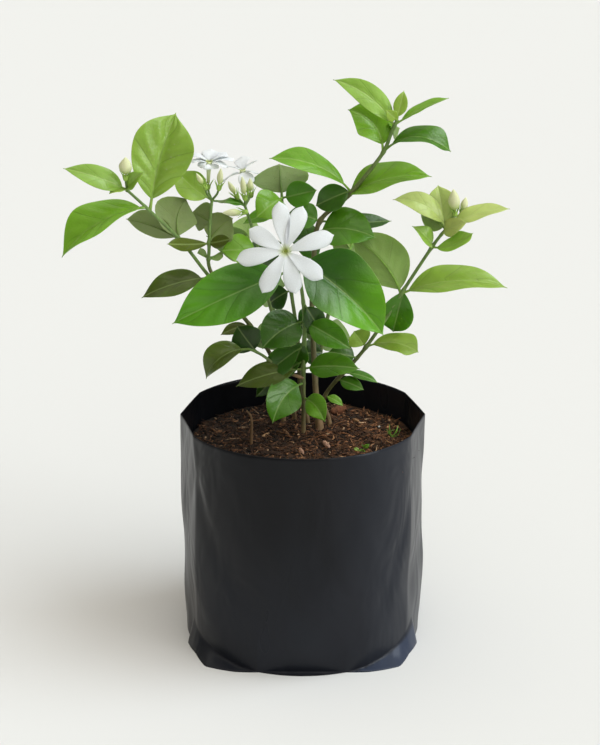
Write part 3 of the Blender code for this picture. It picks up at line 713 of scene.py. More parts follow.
def rooted(foot: tuple, points: tuple) -> np.ndarray:
    """A stem's points, from its hole's floor through the mix's surface and on.

    Args:
        foot: where it stands, as (x, y).
        points: its points above the mix, as (column, row, depth).

    Returns:
        The points, as (n, 3).
    """
    x, y = foot
    rise = soil_top(x, y)
    buried = [np.array((x, y, rise - HOLE_DEPTH + GAP_UNDER_STEM)), np.array((x, y, rise + 1.0))]
    return np.array(buried + [VIEW.spot(*point) for point in points])


class Tone(Enum):
    """The colour of a leaf's upper face, from the youngest to the oldest. The deep and dark tones are partly
    painted shade on leaves inside the plant, and olive on leaves in shadow.
    """

    PALE = "#a8b866"
    YOUNG = "#88aa40"
    FRESH = "#6b9c24"
    GREEN = "#457812"
    DEEP = "#2f590c"
    # Dark: partly the leaf's own deep green, partly painted shade on leaves deep in shadow.
    DARK = "#1f4107"
    # Olive: partly painted shade, on leaves that lie in shadow.
    OLIVE = "#4b5a18"


@dataclass(frozen=True)
class Leaf:
    """A leaf on a shoot.

    The joint counts the shoot's points, and may lie between two. The tip is a pixel. Reach
    says how much deeper the tip lies than the joint. Roll is the turn about the midrib, in
    degrees, from a blade whose upper face looks at the camera. Arch and sweep bow the midrib
    along the blade's upward and sideways direction, as shares of its length. Fold is how far
    each half is lifted, in degrees. Peak is where along the blade it is widest, the stalk is
    the share of the length before the blade, and relief is how strongly the tissue swells
    between its veins. Painted tip light is painted shade and light along the blade: how much
    darker its foot is painted and how much lighter and warmer its tip.
    """

    joint: float
    tip: tuple
    reach: float
    width: float
    roll: float = 0.0
    tone: Tone = Tone.GREEN
    arch: float = 0.1
    sweep: float = 0.0
    fold: float = 18.0
    peak: float = 0.42
    stalk: float = 0.12
    relief: float = 1.0
    painted_tip_light: float = 0.0


BARK = linear_colour("#62603a")
OLD_BARK = linear_colour("#a08260")
GREEN_STEM = linear_colour("#688442")
PETIOLE = linear_colour("#7c9848")
SEPAL = linear_colour("#8fb04a")

LEAF_THICKNESS = 0.36
CURL = -0.12
WAVES = 1.5
WAVE_HEIGHT = 0.09
WAVE_LAG = 1.6
VEIN_PAIRS = 5.5
VEIN_SLOPE = 0.46
VEIN_BEND = 0.35
VEIN_LAG = 0.35
VEIN_UNEVENNESS = 0.22
QUILT = 0.017
MIDRIB_END = 0.93
MIDRIB_FURROW = 0.09
PETIOLE_THICKNESS = 0.9
PETIOLE_STATIONS = (0, 0.12, 0.3, MIDRIB_END)
PETIOLE_SHARES = (1.15, 0.9, 0.62, 0.14)
TONE_RANGE = (0.88, 1.12)
HUE_RANGE = (-0.1, 0.1)
# Painted light: the tint by which a leaf's tip is painted lighter and its foot darker.
PAINTED_LIGHT_TINT = np.array((1.25, 1.0, 0.6))
HUE_SHIFT = np.array((1.0, 0.2, -0.6))


class LeafForm:
    """The curved surface of one leaf, as a function of its length and width."""

    def __init__(self, leaf: Leaf, start: np.ndarray) -> None:
        """Settles the leaf's directions: upward is towards the camera, turned by the roll.

        Args:
            leaf: the leaf's own numbers.
            start: where its petiole leaves the shoot.
        """
        self.leaf = leaf
        self.start = start
        tip = VIEW.spot(*leaf.tip, start[1] + leaf.reach)
        self.chord = tip - start
        self.length = float(np.linalg.norm(self.chord))
        along = self.chord / self.length
        facing = unit(VIEW.place() - (start + tip) / 2)
        facing = unit(facing - np.dot(facing, along) * along)
        roll = np.radians(leaf.roll)
        self.normal = np.cos(roll) * facing + np.sin(roll) * np.cross(along, facing)
        self.side = np.cross(self.normal, along)

    def midrib(self, share: np.ndarray) -> np.ndarray:
        """The petiole and midrib: the chord, bowed by 4s(1 - s) times arch and sweep."""
        share = share[..., None]
        bend = self.leaf.arch * self.normal + self.leaf.sweep * self.side
        return self.start + share * self.chord + 4 * share * (1 - share) * self.length * bend

    def half_width(self, run: np.ndarray) -> np.ndarray:
        """Half the blade's width along it."""
        return self.leaf.width / 2 * taper(run, self.leaf.peak)

    def place(self, run: np.ndarray, across: np.ndarray) -> np.ndarray:
        """The blade's middle surface.

        The half width is carried sideways from the midrib, folded up in a shallow V, and
        curled and waved by the square of the share across.

        Args:
            run: from the blade's foot, 0, to its tip, 1.
            across: from one margin, -1, to the other, 1.

        Returns:
            The points, as (rows, columns, 3).
        """
        share = mixed(self.leaf.stalk, 1, run)
        ahead = unit(self.midrib(share + 0.01) - self.midrib(share - 0.01))
        up = unit(self.normal - np.sum(self.normal * ahead, axis=-1, keepdims=True) * ahead)
        fold = math.radians(self.leaf.fold)
        phase = np.where(across > 0, 0.0, WAVE_LAG)
        wave = WAVE_HEIGHT * np.sin(2 * np.pi * WAVES * run + phase)
        half = self.half_width(run)
        rise = half * (np.abs(across) * math.sin(fold) + (CURL + wave) * across**2)
        aside = (half * across * math.cos(fold))[..., None] * np.cross(up, ahead)
        return self.midrib(share) + aside + (rise + self.quilt(run, across))[..., None] * up

    def vein_count(self, run: np.ndarray, across: np.ndarray) -> np.ndarray:
        """Counts side veins: the run less what a vein gains towards the margin, unevenly.

        Args:
            run: from the blade's foot, 0, to its tip, 1.
            across: from one margin, -1, to the other, 1.

        Returns:
            The count, a whole number on each vein.
        """
        right = across > 0
        gained = VEIN_SLOPE * np.abs(across) * (1 - VEIN_BEND * np.abs(across))
        uneven = VEIN_UNEVENNESS * np.sin(7.3 * run + 40 * self.leaf.tip[0] + 2.0 * right)
        return VEIN_PAIRS * (run - gained) + VEIN_LAG * right + uneven

    def quilt(self, run: np.ndarray, across: np.ndarray) -> np.ndarray:
        """The tissue's swelling between side veins: a cosine of their count, flat at the margin.

        Args:
            run: from the blade's foot, 0, to its tip, 1.
            across: from one margin, -1, to the other, 1.

        Returns:
            How far the tissue stands off the plain blade.
        """
        swell = -np.cos(2 * np.pi * self.vein_count(run, across)) * (1 - across**2)
        swell = swell * smooth_step(0.0, 0.25, np.abs(across))
        swell = swell - np.exp(-(across / MIDRIB_FURROW) ** 2)
        return QUILT * self.leaf.relief * self.leaf.width * swell * np.sin(np.pi * run) ** 0.9

    def skins(self, draw: np.random.Generator) -> list[Surface]:
        """The blade and its petiole, which runs on under it as the midrib.

        Args:
            draw: the source of each leaf's own small difference in colour.

        Returns:
            Two closed skins.
        """
        run, across = rows_and_columns(self.length, self.leaf.width)
        runs = run + 0 * across
        half = LEAF_THICKNESS / 2 * np.sqrt(1 - across**2) * np.ones_like(run)
        width, count = self.half_width(run) * across, self.vein_count(run, across)
        tone = linear_colour(self.leaf.tone.value) * draw.uniform(*TONE_RANGE)
        tone = tone * (1 + draw.uniform(*HUE_RANGE) * HUE_SHIFT)
        # Painted shade at the blade's foot and painted light towards its tip.
        foot_to_tip = (2 * smooth_step(0.25, 0.8, runs) - 1)[..., None]
        paler = 1 + self.leaf.painted_tip_light * foot_to_tip * PAINTED_LIGHT_TINT
        blade = shell(self.place(run, across), half, np.stack((runs, width, count), axis=-1), tone * paler)
        share = np.linspace(0.0, MIDRIB_END, 26)
        thick = PETIOLE_THICKNESS + self.leaf.width / 60
        radius = thick / 2 * np.interp(share, PETIOLE_STATIONS, PETIOLE_SHARES)
        sunk = smooth_step(0.1, 0.3, share) * (0.55 * radius + QUILT * self.leaf.width)
        path = self.midrib(share) - sunk[:, None] * self.normal
        return [blade, rod(path, radius, PETIOLE * 0.5 + 0.5 * tone, sides=8)]


@dataclass(frozen=True)
class Calyx:
    """The green cup under a flower or bud, with its narrow spreading teeth."""

    foot: np.ndarray
    axis: np.ndarray
    radius: float = 1.25
    half_length: float = 1.6
    teeth: int = 7
    tooth_length: float = 4.6
    tooth_radius: float = 0.34
    tooth_rise: float = 0.86
    tooth_lean: float = 0.42

    def skins(self) -> list[Surface]:
        """The cup and the teeth.

        The cup is a half-egg on its axis. A tooth starts at the cup's rim, leans outward as
        it goes and narrows to its tip.

        Returns:
            The closed skins.
        """
        run = np.linspace(-0.98, 0.98, 14)
        path = self.foot + np.outer(run * self.half_length, self.axis)
        skins = [rod(path, self.radius * np.sqrt(1 - run**2), SEPAL)]
        run = np.linspace(0, 1, 12)
        stem = self.foot + np.outer(self.tooth_rise * self.tooth_length * run, self.axis)
        lean = 0.75 * self.radius + self.tooth_lean * self.tooth_length * run**1.5
        for out in spokes(self.axis, (0.3, 0.2, 1.0), full_turn(self.teeth))[0]:
            radius = self.tooth_radius * (1.02 - run) ** 0.7
            skins.append(rod(stem + np.outer(lean, out), radius, SEPAL, sides=6))
        return skins


@dataclass
class Bloom:
    """What sits in a calyx, from its foot there to its top, both as (column, row, depth)."""

    node: str
    calyx: tuple
    top: tuple
    width: float

    def __post_init__(self) -> None:
        """Finds its foot, its end and the axis between them."""
        self.foot, self.end = VIEW.spot(*self.calyx), VIEW.spot(*self.top)
        self.axis = unit(self.end - self.foot)


@dataclass
class Bud(Bloom):
    """A closed flower: rolled petals in a pointed egg."""

    cream = linear_colour("#ced1a6")
    green = linear_colour("#b7c77b")
    rise = 1.8
    winding = 2.4
    rolled_petals = 3

    def make(self, palette: Palette) -> None:
        """Makes the bud, which stands for its solid.

        Its radius is the sine of the run to a power, pinched near the tip, with the ridges
        of rolled petals winding round it.

        Args:
            palette: the finishes.
        """
        start = self.foot + self.rise * self.axis
        length = np.linalg.norm(self.end - start)
        run, turn = np.linspace(0.01, 0.99, 34)[:, None], full_turn(30)
        swell = np.sin(np.pi * run**0.85) ** 0.75 * (1 - 0.25 * run**3)
        wound = turn - self.winding * run
        folds = np.abs(np.sin(self.rolled_petals / 2 * wound)) - 0.6
        radius = self.width / 2 * swell * (1 + 0.09 * folds * smooth_step(0.1, 0.5, run))
        out = spokes(self.axis, (0.2, 1.0, 0.1), turn)
        rings = start + (run * length)[..., None] * self.axis + radius[..., None] * out
        tint = (1 - smooth_step(0.0, 0.55, run + 0 * turn))[..., None]
        guide = np.zeros((*radius.shape, 4))
        guide[..., 0] = run * length
        guide[..., 1] = wound
        skin = loft(rings, mixed(self.cream, self.green, tint), guide)
        make_piece(self.node, "petals", [skin], [palette.petal])


@dataclass
class Flower(Bloom):
    """An open flower: a corolla tube up to its throat, and petals as wide as its width."""

    petals: tuple = ()

    white = linear_colour("#e2e7ea")
    green = linear_colour("#b9c77a")
    hole = linear_colour("#b9c46c")
    layer = 0.45
    first_gap = 0.9
    bow = 0.07
    turned_back = 0.03
    half_thickness = 0.3
    tube_radii = np.array((0.75, 0.9, 1.2, 1.45, 1.5, 1.25, 0.95, 0.8))
    tube_green = np.array((0.95, 0.8, 0.6, 0.7, 1.0, 1.0, 1.0, 1.0))
    tube_hole = np.array((0.0, 0.0, 0.0, 0.0, 0.0, 0.15, 0.8, 1.0))

    def petal(self, column: float, row: float, lift: float) -> Surface:
        """One petal: narrow at its foot, widest past its middle, pointed and gently bowed.

        Its tip is where the pixel's ray meets the flower's plane, tipped halfway to the
        camera. Its rise is a half sine along it less a cube of the run, with a trough
        across it that turns over towards the tip.

        Args:
            column: the column of the petal's tip.
            row: its row.
            lift: how far its layer stands off the throat.

        Returns:
            The closed petal.
        """
        plane = unit(self.axis + unit(VIEW.place() - self.end))
        tip = VIEW.meet(column, row, self.end, plane)
        middle = self.end + lift * self.axis
        start = middle + self.first_gap * unit(tip - middle)
        chord = tip - start
        length = np.linalg.norm(chord)
        side = unit(np.cross(self.axis, chord))
        up = unit(np.cross(chord, side))
        run, across = rows_and_columns(length, self.width)
        half = self.width / 2 * petal_taper(run)
        rise = self.bow * length * np.sin(np.pi * run) - self.turned_back * length * run**3
        rise = rise + 0.5 * half * across**2 * (1 - 1.6 * run)
        middle = start + run[..., None] * chord + (half * across)[..., None] * side + rise[..., None] * up
        thick = self.half_thickness * np.sqrt(1 - across**2) * np.ones_like(run)
        guide = np.stack((run * length + 0 * across, half * across, 0 * run * across), axis=-1)
        tint = (1 - smooth_step(0.0, 0.14, run + 0 * across))[..., None]
        return shell(middle, thick, guide, mixed(self.white, self.green, tint))

    def tube(self) -> Surface:
        """The corolla tube, whose wall turns in at the throat and goes down to a dark hole.

        Each ring is a circle square to the axis, at a distance along it and with a radius
        that both run through a short list of values.

        Returns:
            The closed tube.
        """
        span = np.linalg.norm(self.end - self.foot)
        along = (1.9, span / 2, span * 0.85, *(span + past for past in (0.1, 0.75, 0.85, 0.6, -1.0)))
        out = spokes(self.axis, (0.2, 1.0, 0.1), full_turn(24))
        rings = self.foot + np.array(along)[:, None, None] * self.axis + self.tube_radii[:, None, None] * out
        tone = mixed(self.white, self.green, self.tube_green[:, None, None])
        return loft(rings, mixed(tone, self.hole, self.tube_hole[:, None, None]))

    def make(self, palette: Palette) -> None:
        """Makes the flower, which stands for its solid, with its petals in two layers."""
        skins = [self.petal(*tip, self.layer * (number % 2)) for number, tip in enumerate(self.petals)]
        make_piece(self.node, "corolla", [*skins, self.tube()], [palette.petal])


@dataclass(frozen=True)
class Shoot:
    """A shoot: its points as (column, row, depth), its diameters and what it carries.

    Woody is the share of it that has turned brown.
    """

    points: tuple
    thick: float
    thin: float
    woody: float = 0.0
    leaves: tuple = ()

    knot_swell = 0.18
    knot_width = 0.09

    def skin(self, points: np.ndarray, buried: int, flare: float) -> Surface:
        """The shoot's rod: it thins upward, swells at each joint, and turns from wood to green.

        Args:
            points: its points in space.
            buried: how many of them come before its own first.
            flare: how much thicker it is there.

        Returns:
            The rod.
        """
        last = len(points) - 1
        joint = np.linspace(0, last, 14 * last + 1)
        knots = np.linspace(self.thick, self.thin, last + 1)
        knots[:buried] = self.thick * flare
        radius = np.interp(joint, np.arange(last + 1), knots) / 2
        for leaf in self.leaves:
            away = (joint - buried - leaf.joint) / self.knot_width
            radius = radius * (1 + self.knot_swell * np.exp(-(away**2)))
        share = joint / last
        wood = 1 - smooth_step(self.woody - 0.25, self.woody + 0.15, share) if self.woody else 0 * share
        brown = mixed(BARK, OLD_BARK, (1 - smooth_step(0.05, 0.3, share))[:, None])
        return rod(along_points(points, joint), radius, mixed(GREEN_STEM, brown, wood[:, None]))


@dataclass(frozen=True)
class LeafyStem:
    """A stem that stands in the potting mix, with its side shoots and what blooms on it."""

    node: str
    foot: tuple
    shoots: tuple
    blooms: tuple = ()
    flare: float = 1.0

    def make(self, number: int, palette: Palette) -> None:
        """Makes the stem's two pieces, which stand for its solid.

        Args:
            number: its place in the row of stems, which seeds its small differences.
            palette: the finishes.
        """
        draw = np.random.default_rng(TEXTURE_SEED + number)
        wood, blades = [], []
        for shoot in self.shoots:
            if shoot is self.shoots[0]:
                points = rooted(self.foot, shoot.points)
            else:
                points = np.array([VIEW.spot(*point) for point in shoot.points])
            buried = len(points) - len(shoot.points)
            wood.append(shoot.skin(points, buried, self.flare))
            for leaf in shoot.leaves:
                start = along_points(points, np.array(leaf.joint + buried))
                blade, stalk = LeafForm(leaf, start).skins(draw)
                blades.append(blade)
                wood.append(stalk)
        for bloom in self.blooms:
            wood += Calyx(bloom.foot, bloom.axis).skins()
        finishes = [palette.leaf, palette.bark]
        make_piece(self.node, "leaves", blades, finishes)
        make_piece(self.node, "shoots", wood, finishes)


FRONT_PETALS = (
    (334, 235), (303, 206), (279, 201), (249, 229), (236, 260), (262, 293), (296, 294), (323, 279),
)
BACK_PETALS = (
    (234, 158), (226, 152), (211, 149), (195, 153), (191, 160), (198, 166), (212, 169), (228, 166),
)
REAR_PETALS = (
    (222, 181), (228, 166), (242, 156), (256, 160), (258, 173), (248, 184),
)

FRONT_STEM = LeafyStem("front_stem", foot=(0.5, 3.0), shoots=(
    Shoot(
        ((303.5, 398, 2), (303.5, 369, 1), (304.5, 322, -3), (302, 292, -7), (297, 268, -11)),
        2.2, 1.7, 0.5, (
            Leaf(0.55, (272.5, 423.5), -15, 19, -8, arch=0.12, sweep=-0.14),
            Leaf(0.0, (325, 422), -13, 12, 8, Tone.FRESH, sweep=0.12),
            Leaf(1.0, (360, 369), -12, 15, -30),
            Leaf(1.0, (236, 386.5), -2, 14, 25, Tone.OLIVE, arch=0.12),
            Leaf(1.2, (279, 379), 5, 7, 20, Tone.DEEP),
            Leaf(1.65, (293, 368), 7, 12, 0, Tone.DEEP),
            Leaf(1.5, (265, 377), 4, 14, 20, Tone.DEEP),
            Leaf(2.0, (262, 349), -13, 22, 15, Tone.DEEP, arch=0.16, sweep=-0.06, fold=24),
            Leaf(2.0, (351, 349), -13, 14, -12),
            Leaf(2.6, (321, 333), 4, 12, -10, Tone.DARK),
            Leaf(4.0, (172, 324), -9, 29, 12, arch=0.08, fold=25, painted_tip_light=0.3),
        ),
    ),
    Shoot(
        ((297, 268, -11), (291, 256, -15), (286.5, 252.5, -18.5)),
        1.6, 1.4, 0.0, (
            Leaf(
                0.9, (384, 336), -15, 38, -18, arch=0.06, sweep=0.045, fold=31, peak=0.36,
                relief=0.5, painted_tip_light=0.5,
            ),
        ),
    ),
    Shoot(
        ((303.5, 378, 1), (284, 371, 2), (262, 355, 0), (249, 349, -3)),
        1.8, 1.2, 0.6, (
            Leaf(1.0, (256, 397), 3, 8, 10, Tone.DEEP),
            Leaf(2.3, (237, 326), 2, 17, -10, Tone.DARK, fold=14),
            Leaf(3.0, (206, 379), -5, 17, 35, Tone.OLIVE, arch=0.3, fold=34),
        ),
    ),
), blooms=(
    Flower("front_flower", (286.5, 252.5, -18.5), (285.5, 251, -32), 8.2, FRONT_PETALS),
))

LEFT_STEM = LeafyStem("left_stem", foot=(-9.5, 20.0), shoots=(
    Shoot(
        (
            (283, 385, 16), (268, 350, 10), (250, 325, 7), (222, 292, 3), (204, 270, 0), (181, 241, -4),
            (150, 211, -9), (127, 190, -12),
        ),
        2.6, 1.3, 0.55, (
            Leaf(2.0, (220.5, 335), -3, 7, 30, Tone.OLIVE),
            Leaf(3.65, (141.5, 298), -5, 16, 36, Tone.OLIVE, peak=0.38),
            Leaf(5.0, (126, 219), 12, 14, 150, Tone.OLIVE, arch=0.04, sweep=0.04, peak=0.6),
            Leaf(5.0, (186.5, 198), 13, 23, 200, Tone.OLIVE, sweep=-0.13, peak=0.62),
            Leaf(6.15, (61.8, 257.5), -8, 27.5, 54, Tone.FRESH, arch=0.14, fold=26, peak=0.54, stalk=0.05),
            Leaf(
                6.0, (176, 112.7), 12, 32.5, 0, Tone.YOUNG, arch=0.05, sweep=0.035, fold=28,
                peak=0.58, relief=1.7,
            ),
            Leaf(7.0, (63, 168.5), -4, 12, 24, Tone.YOUNG, peak=0.34, stalk=0.08),
            Leaf(7.0, (144, 172), -6, 9, -30, Tone.YOUNG, fold=34),
            Leaf(7.0, (109, 194), -7, 6, 60, Tone.YOUNG),
        ),
    ),
    Shoot(
        ((222, 292, 3), (209.5, 268, 4), (209, 250, 4), (210, 222, 8), (212, 200, 11)),
        1.9, 1.4, 0.3, (
            Leaf(1.5, (222, 251), 6, 8, 120, Tone.FRESH),
            Leaf(1.5, (197, 253), 8, 8, 120, Tone.FRESH),
            Leaf(2.25, (167, 244), -19, 7, 20, Tone.OLIVE, arch=-0.03, fold=6, peak=0.6, stalk=0.04),
            Leaf(2.25, (231, 239), -8, 7, -20, Tone.OLIVE, arch=0.0, fold=6, stalk=0.04),
            Leaf(2.3, (233, 218), 4, 18, 170, Tone.OLIVE, sweep=-0.1),
            Leaf(3.0, (192, 212), 5, 16, 160, Tone.OLIVE),
            Leaf(4.0, (177, 170), 6, 16, 20, Tone.YOUNG, sweep=0.1),
            Leaf(4.0, (231, 197), 9, 7, 100, Tone.DEEP),
        ),
    ),
    Shoot(((127, 190, -12), (126, 183, -15), (125.5, 178, -16)), 1.2, 1.0),
    Shoot(((212, 200, 11), (209, 193, 11), (208, 187, 11)), 1.2, 1.0),
    Shoot(((212, 200, 11), (217, 194, 8), (219, 188, 7)), 1.2, 1.0),
    Shoot(((212, 200, 11), (207, 194, 5), (205, 187, 3)), 1.1, 1.0),
), blooms=(
    Bud("left_bud", (125.5, 178, -16), (125.5, 157, -17), 6.2),
    Flower("back_flower", (208, 187, 11), (209, 163, 11), 8.4, BACK_PETALS),
    Bud("back_bud", (219, 188, 7), (221, 168, 5), 3.0),
    Bud("slim_bud", (205, 187, 3), (196, 173, 1), 2.4),
))

BUD_STEM = LeafyStem("bud_stem", foot=(-4.0, 25.0), shoots=(
    Shoot(
        ((288, 385, 21), (279, 340, 16), (266, 290, 14), (259, 252, 14), (251, 224, 14), (245, 206, 13)),
        2.1, 1.3, 0.5, (
            Leaf(3.0, (221, 251), -6, 17, 25, Tone.FRESH),
            Leaf(5.0, (224, 203), -3, 7, 60),
            Leaf(2.0, (230, 292), 9, 20, 20, Tone.DEEP),
        ),
    ),
    Shoot(((245, 206, 13), (240, 200, 13), (237, 197, 13)), 1.1, 1.0),
    Shoot(((245, 206, 13), (245, 200, 10), (245, 198, 9)), 1.1, 1.0),
    Shoot(((245, 206, 13), (249, 199, 15), (251, 195, 16)), 1.1, 1.0),
    Shoot(((251, 224, 14), (248, 216, 9), (245, 212, 6)), 1.1, 1.0),
    Shoot(((245, 206, 13), (248, 198, 20), (247, 189, 24)), 1.1, 1.0),
), blooms=(
    Bud("cluster_bud_1", (237, 197, 13), (228, 181, 13), 2.8),
    Bud("cluster_bud_2", (245, 198, 9), (242, 176, 7), 3.0),
    Bud("cluster_bud_3", (251, 195, 16), (250, 178, 17), 3.0),
    Bud("white_bud", (245, 212, 6), (222, 213, 3), 3.6),
    Flower("rear_flower", (247, 189, 24), (243, 172, 27), 8.0, REAR_PETALS),
))

CENTRE_STEM = LeafyStem("centre_stem", foot=(2.5, 21.0), shoots=(
    Shoot(
        ((300, 385, 19), (298, 340, 18), (291, 290, 20), (286, 240, 22), (283, 213, 22), (282, 198, 22)),
        2.3, 1.4, 0.5, (
            Leaf(0.7, (323, 352), 3, 14, -15, Tone.DARK, arch=0.05),
            Leaf(1.25, (319, 317), 3, 15, -10, Tone.DARK, arch=0.05),
            Leaf(2.0, (269, 304), 4, 14, 20, Tone.DARK),
            Leaf(3.0, (322, 244), 10, 20, -20, Tone.DEEP),
            Leaf(3.0, (256, 262), 12, 20, 20, Tone.DEEP),
            Leaf(4.0, (243, 224), -3, 9, 40, Tone.FRESH),
            Leaf(4.0, (312, 226), 14, 16, -20, Tone.DEEP),
            Leaf(5.0, (279, 164), 14, 28, 180, Tone.DEEP, arch=-0.12, fold=8),
            Leaf(5.0, (256, 218), -12, 18, 10, Tone.FRESH, arch=0.2),
            Leaf(5.0, (317, 190), -3, 14),
        ),
    ),
))

TOP_STEM = LeafyStem("top_stem", foot=(8.5, 11.0), shoots=(
    Shoot(
        (
            (316, 395, 11), (313.5, 350, 12), (312, 300, 14), (314, 255, 16), (320, 221, 16), (346, 198, 13),
            (371, 169, 9), (384, 151, 7), (391, 134, 5), (397, 120, 3),
        ),
        3.1, 1.5, 0.75, (
            Leaf(3.6, (376, 238), -10, 24, -34, arch=0.2),
            Leaf(4.0, (391.5, 221), 8, 13, -45, Tone.DEEP, arch=0.02, sweep=-0.05),
            Leaf(4.0, (296, 214), 1, 14, 20),
            Leaf(5.2, (269, 158.5), -3, 14, 38, Tone.FRESH, arch=0.18, sweep=-0.02, fold=22, peak=0.62),
            Leaf(5.1, (431.8, 176.7), -4, 23, -52, Tone.FRESH, arch=0.12, fold=22, peak=0.38, stalk=0.02),
            Leaf(5.3, (315.5, 206), 5, 14, 10, Tone.DEEP),
            Leaf(6.9, (347.7, 109.7), 7, 20, 18, Tone.FRESH, sweep=-0.18, peak=0.46),
            Leaf(7.0, (451, 152), -6, 18, -56, arch=0.26, fold=24, peak=0.74),
            Leaf(8.5, (333, 79.7), 4, 12.5, 20, Tone.YOUNG, arch=0.12, sweep=-0.07, peak=0.4, stalk=0.06),
            Leaf(8.6, (449, 98), 2, 9, -62, Tone.FRESH, arch=0.04, sweep=-0.01, fold=28, peak=0.5),
            Leaf(9.0, (404, 90.5), 2, 7, 0, Tone.YOUNG, arch=0.05),
            Leaf(9.0, (386, 110), -4, 6, 0, Tone.YOUNG),
            Leaf(8.4, (400, 128), 20, 11, 150),
        ),
    ),
), flare=1.35)

RIGHT_STEM = LeafyStem("right_stem", foot=(13.5, 18.0), shoots=(
    Shoot(
        (
            (325, 396, 16), (352, 364, 11), (366, 347, 9), (385, 320, 7), (401, 294, 5), (432, 247, 1),
            (446, 229, -1),
        ),
        2.2, 1.5, 0.5, (
            Leaf(0.0, (343, 406), -4, 6, -40, Tone.FRESH),
            Leaf(0.5, (364, 390), -6, 8, -20),
            Leaf(0.7, (378, 383), -2, 6, -40),
            Leaf(1.3, (328, 352), -3, 12, 15, Tone.DEEP),
            Leaf(2.0, (418.5, 352.5), -6, 15, -42, Tone.YOUNG, arch=0.12, sweep=0.07, peak=0.76),
            Leaf(2.0, (354, 331), 5, 13, 0, Tone.YOUNG),
            Leaf(4.0, (507.4, 288), -4, 21, -48, Tone.YOUNG, arch=0.13, fold=22, stalk=0.07),
            Leaf(4.0, (350, 236), 6, 26, 172, Tone.FRESH, arch=-0.08, sweep=0.11, stalk=0.06),
            Leaf(4.1, (393, 332), 9, 17, peak=0.5, stalk=0.03),
            Leaf(5.0, (412, 226), -5, 11, 45, Tone.YOUNG, arch=0.2, sweep=0.1, fold=28),
            Leaf(5.0, (473, 233), -6, 11, -42, Tone.YOUNG, arch=0.04, sweep=-0.18, fold=24, peak=0.74),
            Leaf(6.0, (392.6, 199.7), -2, 12, 30, Tone.PALE, arch=0.16, sweep=-0.1),
            Leaf(6.0, (420, 212), 7, 11, 175, Tone.YOUNG),
            Leaf(6.0, (438, 185), 10, 15.5, 0, Tone.PALE),
            Leaf(6.0, (510, 209), -1, 11, -46, Tone.PALE, arch=0.12),
            Leaf(5.55, (467, 222.5), -7, 10, -30, Tone.PALE),
        ),
    ),
    Shoot(((446, 229, -1), (452, 219, -2), (455, 214, -2)), 1.3, 1.1),
    Shoot(((446, 229, -1), (456, 221, 1), (462, 215, 2)), 1.2, 1.0),
), blooms=(
    Bud("right_bud_1", (455, 214, -2), (453.5, 189, -3), 5.6),
    Bud("right_bud_2", (462, 215, 2), (466, 197, 3), 3.6),
))

BACK_LEFT_STEM = LeafyStem("back_left_stem", foot=(-11.0, 31.0), shoots=(
    Shoot(
        ((286, 380, 31), (279, 335, 33), (268, 290, 36), (256, 258, 40), (247, 238, 42)),
        2.6, 1.5, 0.5, (
            Leaf(1.0, (250, 345), 24, 17, 170),
            Leaf(1.0, (296, 352), 22, 16, 190),
            Leaf(2.0, (216, 300), 20, 22, 160),
            Leaf(2.0, (286, 285), 30, 22, 200),
            Leaf(3.0, (206, 236), 10, 20, 150),
            Leaf(3.0, (262, 250), 34, 23, 180),
            Leaf(4.0, (252, 214), 22, 18, 190, Tone.FRESH),
        ),
    ),
))

BACK_RIGHT_STEM = LeafyStem("back_right_stem", foot=(9.0, 31.0), shoots=(
    Shoot(
        ((316, 380, 31), (324, 335, 34), (333, 295, 37), (341, 268, 41), (350, 250, 43)),
        2.6, 1.5, 0.5, (
            Leaf(1.0, (300, 330), 26, 17, 170),
            Leaf(1.0, (352, 340), 22, 18, 190),
            Leaf(2.0, (310, 288), 30, 22, 160),
            Leaf(2.0, (378, 300), 16, 20, 205),
            Leaf(3.0, (340, 262), 36, 23, 180),
            Leaf(3.0, (386, 262), 16, 20, 200),
            Leaf(4.0, (330, 236), 22, 17, 170, Tone.FRESH),
            Leaf(4.0, (366, 236), 22, 16, 200, Tone.FRESH),
        ),
    ),
))

STEMS = (
    FRONT_STEM, LEFT_STEM, BUD_STEM, CENTRE_STEM, TOP_STEM, RIGHT_STEM,
    BACK_LEFT_STEM, BACK_RIGHT_STEM,
)


